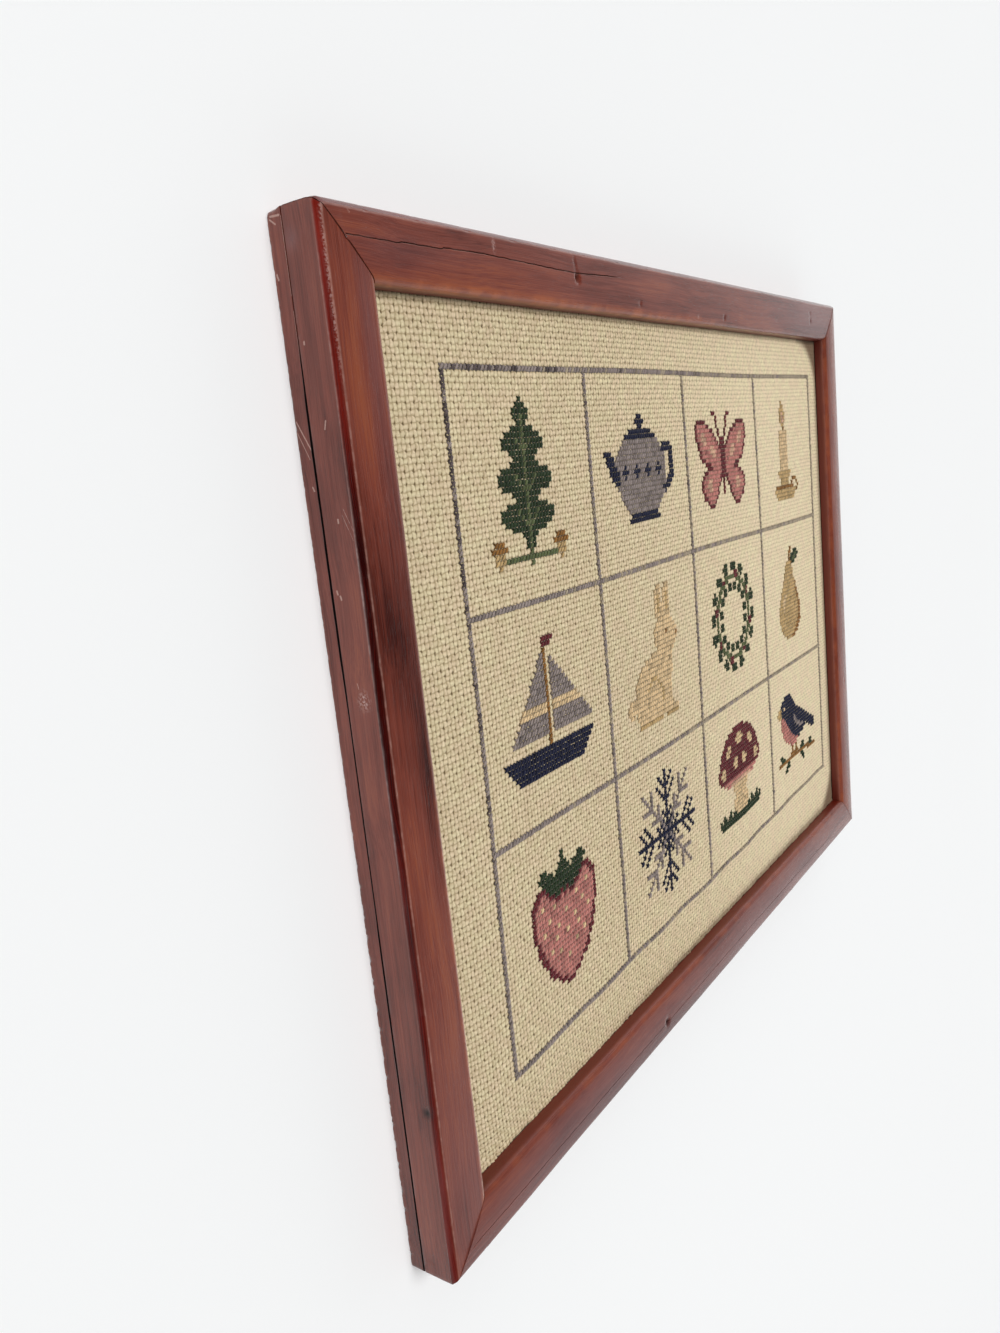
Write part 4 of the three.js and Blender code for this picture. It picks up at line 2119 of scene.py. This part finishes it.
CANDLE = Motif("candle", """
........Y
........YY
.......YYY
.......YRYY
.......YRRY
.......YRRY
........YY
.........B
......CCCCCC
......CCCCCC
......CCCCCC
......CCCCCC
......CCCCCC
......CCCCCC
......CCCCCC
......CCCCCC
......CCCCCC
......CCCCCC
......CCCCCC
....YYYYYYYYYY
.....YYYYYYYY
......YYYYYY...BBB
......YYYYYY..B...B
..BBBBBBBBBBBBBB...B.
.YYYYYYYYYYYYYYYYYB
..YYYYYYYYYYYYYYY
...YYYYYYYYYYYYY
""")

SAILBOAT = Motif("sailboat", """
...............MMMM
...............MMM
...............B
..............SB
.............SSB.S
.............SSB.SS
............SSSB.SSS
...........SSSSB.SSSS
..........SSSSSB.SSSSS
..........SSSSSB.SSSSSS
.........SSSSSSB.SSSSSSS
........SSSSSSSB.SSSSSSSS
.......CCCCCCCCB.CCCCCCCCC
......CCCCCCCCCB.CCCCCCCCCC
......SSSSSSSSSB.SSSSSSSSSSS
.....SSSSSSSSSSB.SSSSSSSSSSSS
....SSSSSSSSSSSB.SSSSSSSSSSSSS
...SSSSSSSSSSSSB.SSSSSSSSSSSSSS
...............B
...............B
NNNNNNNNNNNNNNNNNNNNNNNNNNNNNNN
.NNNNNNNNNNNNNNNNNNNNNNNNNNNNN
..NNNNNNNNNNNNNNNNNNNNNNNNNNN
...NNNNNNNNNNNNNNNNNNNNNNNNN
....NNNNNNNNNNNNNNNNNNNNNNN
""")

RABBIT = Motif("rabbit", """
................CC..CC
...............CCC.CCC
...............CYC.CYC
...............CYC.CYC
...............CYCCCYC
...............CYCCCYC
...............CCCCCCC
................CCCCCC
...............CCCCCCCC
..............CCCCCCCCCC
..............CCCCCBCCCCC..
..............CCCCCCCCCCB
..............CCCCCCCCCCC
...............CCCCCCCCC
............CCCCCCCCCCC
.........CCCCCCCCCCCCC
.......CCCCCCCCCCCCCCC
......CCCCCCCCCCCCCCCC
.....CCCCCCCCCCCCCCCCC
....CCCCCCCYYYCCCCCCCC
....CCCCCCYCCCYCCCCCC
....CCCCCYCCCCCYCCCCC
.CCCCCCCCCCCCCCCYCCCC
CCCCCCCCCCCCCCCCYCCCC
CCCCCCCCCCCCCCCCYCCCC
.CC.CCCCCCCCCCCCCCCCC
....CCCCCCCCCCCCCCCCCC
.....CCCCCCCCCCCCCCCCCCC
.....YYYYYYYYYYY..YYYYYY
""")

PEAR = Motif("pear", """
..........B
.........BB..GGG
.........B.GGGLGG..
.........BGGLLGG
.......YYYBGGG
......YYYYY
......YYYYYY
.....YYYYYYY
.....YYYYYYY
....YYYYYYYYY
....YYYYYYYYYB
...YYYYYYYYYYB
..YYYYYYYYYYYBB
..YYCCYYYYYYYYB
.YYCCYYYYYYYYYBB
.YYCCYYYYYYYYYYB
YYYCYYYYYYYYYYYBB
YYYCYYYYYYYYYYYBB
YYYYYYYYYYYYYYYBB
YYYYYYYYYYYYYYYBB
YYYYYYYYYYYYYYYBB
.YYYYYYYYYYYYYBBB
.YYYYYYYYYYYYBBB
..YYYYYYYYYYBBB
...YYYYYYYYBBB
.....YYYYBBB
""")

STRAWBERRY = Motif("strawberry", """
G
G
GG....GG
GGG.GGGGG
GGGGGGGG
GGGGGGGMMM
GGGGGGMPPMM
GMGGMMPPPPMM
MPMMPPPPCPPM
PPPPCPPPPPPM
PPPPPPPPPPPM
CPPPPPCPPPPM
PPPPPPPPPPPM
PPPCPPPPCPPM
PPPPPPPPPPM
CPPPCPPPPPM
PPPPPPPPPMM
PPPPPPCPPM
PPPCPPPPMM
PPPPPPPPM
CPPPPPPM
PPPPPPMM
PPPPPMM
PPPPM
PPMM
MM
""", Mirror.ACROSS)

SNOWFLAKE = Motif("snowflake", """
N
N..N
N.N
NN..N..S...S
N..N...S..S
N.N....S.S
NN.....SS
N...S..SSSSS
N...S.S
N.N.SS
NN.SSSSS...N
N.NS......N..N
NNSN.N...N..N
NSN.N...N..N
NNNNNNNNNNNNNNN
""", Mirror.BOTH)

TOADSTOOL = Motif("toadstool", """
MMMM
MMMMMMM
CCMMMMMMM
CCCMMMMMMM
CCMMMMCCMMM
MMMMMMCCCMMM
MMMMMMMCCMMM
MMMMMMMMMMMMM
MMCCMMMMMMMMM
MMCCCMMMMMCCMM
MMCCMMMMMMCCCM
MMMMMMMMMMCCMM
MMMMMMMMMMMMM
PPPPPPPPPPP
RRRRRRRPP
CCCCC
CCCCC
CCCC
CCCC
CCCCC
CCCCC
CCCCC..G...G
CCCCGG.GG.GG.G
GGGGGGGGGGGGGG
GGGGGGGGGGGGG
""", Mirror.ACROSS)

SONGBIRD = Motif("songbird", """
......NNNNN
....NNNNNNNN
...NNNNNNNNNN
.YYNNCNNNNNNNN
YYYNNNNNNNNNNNN
.YYNNNNNNNNNNNNNN
...PPNNNNNNNNNNNNNN
...PPPNNNNNNNSNNNNNNN
...PPPPNNNNNNSSNNNNNNNN
...PPPPPNNNNNNSSNNNNNNNNN
....PPPPPNNNNNNSSSNNNNNNNNN
....PPPPPPNNNNNNNSSSSNNNNNNNN
.....PPPPPPNNNNNNNNNNNN.NNNNNNN
......PPPPPPPNNNNNNNN.....NNNNN
........PPPPPPPPNN..........NNN
..........PPPPP
...........B..B
.GG........B..B....GG
..GGG.....BBBBBB..GGG.....GG
BBBBBBBBBBBBBBBBBBBBBBBBBGGG
.......GG.........GG....BBBBBBB
......GGG..........GG
.....GG.............G
""")


def wreath_chart(size: int = 29, leaves: int = 16) -> str:
    """Draws a leafy ring with berries.

    Args:
        size: Columns and rows of the chart.
        leaves: Leaves outside the ring, and as many inside.

    Returns:
        The chart, a row to a line.
    """
    middle, radius = (size - 1) / 2, size * 0.345
    grid = [["."] * size for _row in range(size)]

    def put(angle: float, reach: float, spread: float, letter: str) -> None:
        """Fills a small round patch of the chart.

        Args:
            angle: Where it lies round the middle, in radians.
            reach: How far from the middle it lies.
            spread: Its radius.
            letter: Its thread.
        """
        x, y = middle + reach * math.cos(angle), middle + reach * math.sin(angle)
        for row in range(size):
            for column in range(size):
                if math.hypot(column - x, row - y) < spread:
                    grid[row][column] = letter

    for step in range(4 * leaves):
        put(step * math.pi / 2 / leaves, radius, 0.8, "L")
    for leaf in range(leaves):
        angle = 2 * math.pi * leaf / leaves
        put(angle + 0.08, radius + 2.6, 1.35, "G")
        put(angle + 0.20, radius - 2.3, 1.15, "G")
        if leaf % 2:
            put(angle - 0.16, radius + 0.6, 1.0, "M")
    return "\n".join("".join(row) for row in grid)


DYES: dict[str, tuple[str, Colour]] = {  # by the letter that the charts use
    "N": ("navy", (0.0075, 0.0100, 0.0360)),
    "S": ("slate", (0.290, 0.238, 0.220)),
    "G": ("forest", (0.021, 0.040, 0.014)),
    "L": ("sage", (0.110, 0.135, 0.055)),
    "M": ("maroon", (0.140, 0.020, 0.026)),
    "P": ("pink", (0.560, 0.225, 0.190)),
    "R": ("shell", (0.700, 0.440, 0.300)),
    "C": ("cream", (0.760, 0.560, 0.320)),
    "Y": ("straw", (0.560, 0.385, 0.175)),
    "B": ("bronze", (0.290, 0.135, 0.032)),
    "K": ("ink", (0.105, 0.080, 0.080)),
    "H": ("hazel", (0.400, 0.330, 0.245)),
}
MOTIFS = (
    OAK_SPRIG, TEAPOT, BUTTERFLY, CANDLE,
    SAILBOAT, RABBIT, Motif("berry_wreath", wreath_chart()), PEAR,
    STRAWBERRY, SNOWFLAKE, TOADSTOOL, SONGBIRD,
)


@dataclass
class Sampler:
    """A ruled grid of twelve places, four across, with a small motif in each."""

    cloth: Cloth
    twist: Tree
    first_column: int = -84
    top_row: int = 61
    cell_columns: int = 44
    cell_rows: int = 40
    across: int = 4
    down: int = 3
    ruled_width: float = 0.98  # of its stitches, as a share of the usual one

    def cottons(self) -> dict[str, Material]:
        """Returns the threads' materials, by the letter that the charts use."""
        return {key: StrandedCotton(name, dye, self.twist).material() for key, (name, dye) in DYES.items()}

    def ruled_stitches(self) -> Stitches:
        """Rules the grid, darker at its left and foot and lighter at its right.

        Returns:
            The column, row and thread of each stitch.
        """
        columns = [self.first_column + n * self.cell_columns for n in range(self.across + 1)]
        rows = [self.top_row - n * self.cell_rows for n in range(self.down + 1)]
        places = {(column, row) for column in columns for row in range(rows[-1], rows[0] + 1)}
        places |= {(column, row) for row in rows for column in range(columns[0], columns[-1] + 1)}
        draw = np.random.default_rng(5)
        stitches = []
        for column, row in sorted(places):
            share = (column - columns[0]) / (columns[-1] - columns[0])
            dark = (0.8 if column == columns[0] else 0.32 - 0.8 * share) - (rows[0] - row) / 110
            light = 1.2 * share - 0.1
            chance = draw.random()
            stitches.append((column, row, "K" if chance < dark else "H" if chance > 1 - light else "S"))
        return stitches

    def motif_stitches(self, motif: Motif, place: int) -> Stitches:
        """Places a motif's stitches.

        Args:
            motif: The motif.
            place: Its place in the grid, counted from the top left.

        Returns:
            The column, row and thread of each stitch.
        """
        rows = motif.rows()
        middle_column = self.first_column + (place % self.across + 0.5) * self.cell_columns
        middle_row = self.top_row - (place // self.across + 0.5) * self.cell_rows
        left = round(middle_column - max(len(row) for row in rows) / 2)
        top = round(middle_row + len(rows) / 2)
        return [
            (left + n, top - k, letter)
            for k, row in enumerate(rows) for n, letter in enumerate(row) if letter != "."
        ]

    def build(self) -> list[Piece]:
        """Works the ruled grid and all the motifs.

        Returns:
            The finished pieces.
        """
        cross = Cross(self.cloth.pitch).build()
        work = StitchWork(self.cloth, cross, self.cottons())
        pieces = [work.work("ruled_grid", self.ruled_stitches(), self.ruled_width)]
        for place, motif in enumerate(MOTIFS):
            pieces.append(work.work(motif.name, self.motif_stitches(motif, place)))
        bpy.data.objects.remove(cross)
        return pieces


# The studio


@dataclass(frozen=True)
class Studio:
    """A pale floor, soft light and the camera at the photograph's place."""

    eye: Place = (-387.55, 82.80, 190.46)
    right: Place = (0.5644736, -0.10226736, 0.81909154)
    up: Place = (0.21795539, 0.97554538, -0.02840172)
    lens: float = 27.359
    sensor: float = 36
    clip: tuple[float, float] = (0.01, 200)  # metres
    floor_size: float = 60.0  # metres
    lamp_way: Place = (-0.15, 0.30, 1.0)
    lamp_power: float = 2.38
    lamp_spread: float = 36  # degrees
    sky_levels: tuple[tuple[float, float], ...] = (  # Z of the way that is looked, and how bright it is
        (0.0, 1.15), (0.18, 1.03), (0.30, 0.68), (0.46, 0.50), (0.54, 0.34), (0.60, 0.13), (0.66, 0.04),
    )
    table_light: float = 0.62  # of the pale table beyond the picture's foot

    def camera(self) -> None:
        """Places the camera."""
        right, up = Vector(self.right).normalized(), Vector(self.up).normalized()
        data = bpy.data.cameras.new("camera")
        data.lens, data.sensor_width = self.lens, self.sensor
        data.clip_start, data.clip_end = self.clip
        camera = bpy.data.objects.new("camera", data)
        bpy.context.scene.collection.objects.link(camera)
        turn = Matrix((right, up, right.cross(up))).transposed().to_4x4()
        camera.matrix_world = Matrix.Translation(Vector(self.eye) * MM) @ turn
        bpy.context.scene.camera = camera

    def floor(self) -> None:
        """Lays the pale floor."""
        bpy.ops.object.select_all(action="DESELECT")
        bpy.ops.mesh.primitive_plane_add(size=self.floor_size, location=(0, 0, 0))
        floor = bpy.context.active_object
        floor.name = "floor"
        floor.data.materials.append(PaperSweep().material())

    def sky(self) -> None:
        """Sets the sky light, which is bright low down and towards the picture's foot."""
        world = bpy.data.worlds.new("studio")
        world.use_nodes = True
        bpy.context.scene.world = world
        recipe = Recipe(world.node_tree)
        way = recipe.node("TexCoord").outputs["Generated"]
        _across, along, up = recipe.node("SeparateXYZ", {0: way}).outputs
        levels = recipe.ramp(up, [(height, (light,) * 3) for height, light in self.sky_levels])
        table = recipe.rise(recipe.times(along, -1.0), 0.45, 0.62)
        table = recipe.times(table, recipe.inverse(recipe.rise(up, 0.54, 0.62)))
        light = recipe.math("MAXIMUM", levels, recipe.times(table, self.table_light))
        recipe.feed(world.node_tree.nodes["Background"], {"Color": (1.0, 1.0, 1.0, 1), "Strength": light})

    def lamp(self) -> None:
        """Hangs one soft lamp over the picture."""
        lamp = bpy.data.lights.new("window_lamp", "SUN")
        lamp.energy, lamp.angle = self.lamp_power, math.radians(self.lamp_spread)
        holder = bpy.data.objects.new("window_lamp", lamp)
        holder.visible_glossy = False
        holder.rotation_mode = "QUATERNION"
        holder.rotation_quaternion = Vector(self.lamp_way).to_track_quat("Z", "Y")
        bpy.context.scene.collection.objects.link(holder)

    def build(self) -> None:
        """Sets up the camera, floor and lights."""
        self.camera()
        self.floor()
        self.sky()
        self.lamp()
        bpy.context.scene.view_settings.view_transform = "Standard"


def main() -> None:
    """Builds the studio, the wooden frame, the cloth and its stitches."""
    logging.basicConfig(level=logging.INFO, format="%(name)s: %(message)s")
    Studio().build()
    WoodenFrame(wood_grain_group(), patchy_group(), scratch_group()).build()
    cloth = Cloth(evenweave_group())
    cloth.build()
    Sampler(cloth, twisted_thread_group()).build()


if __name__ == "__main__":
    main()
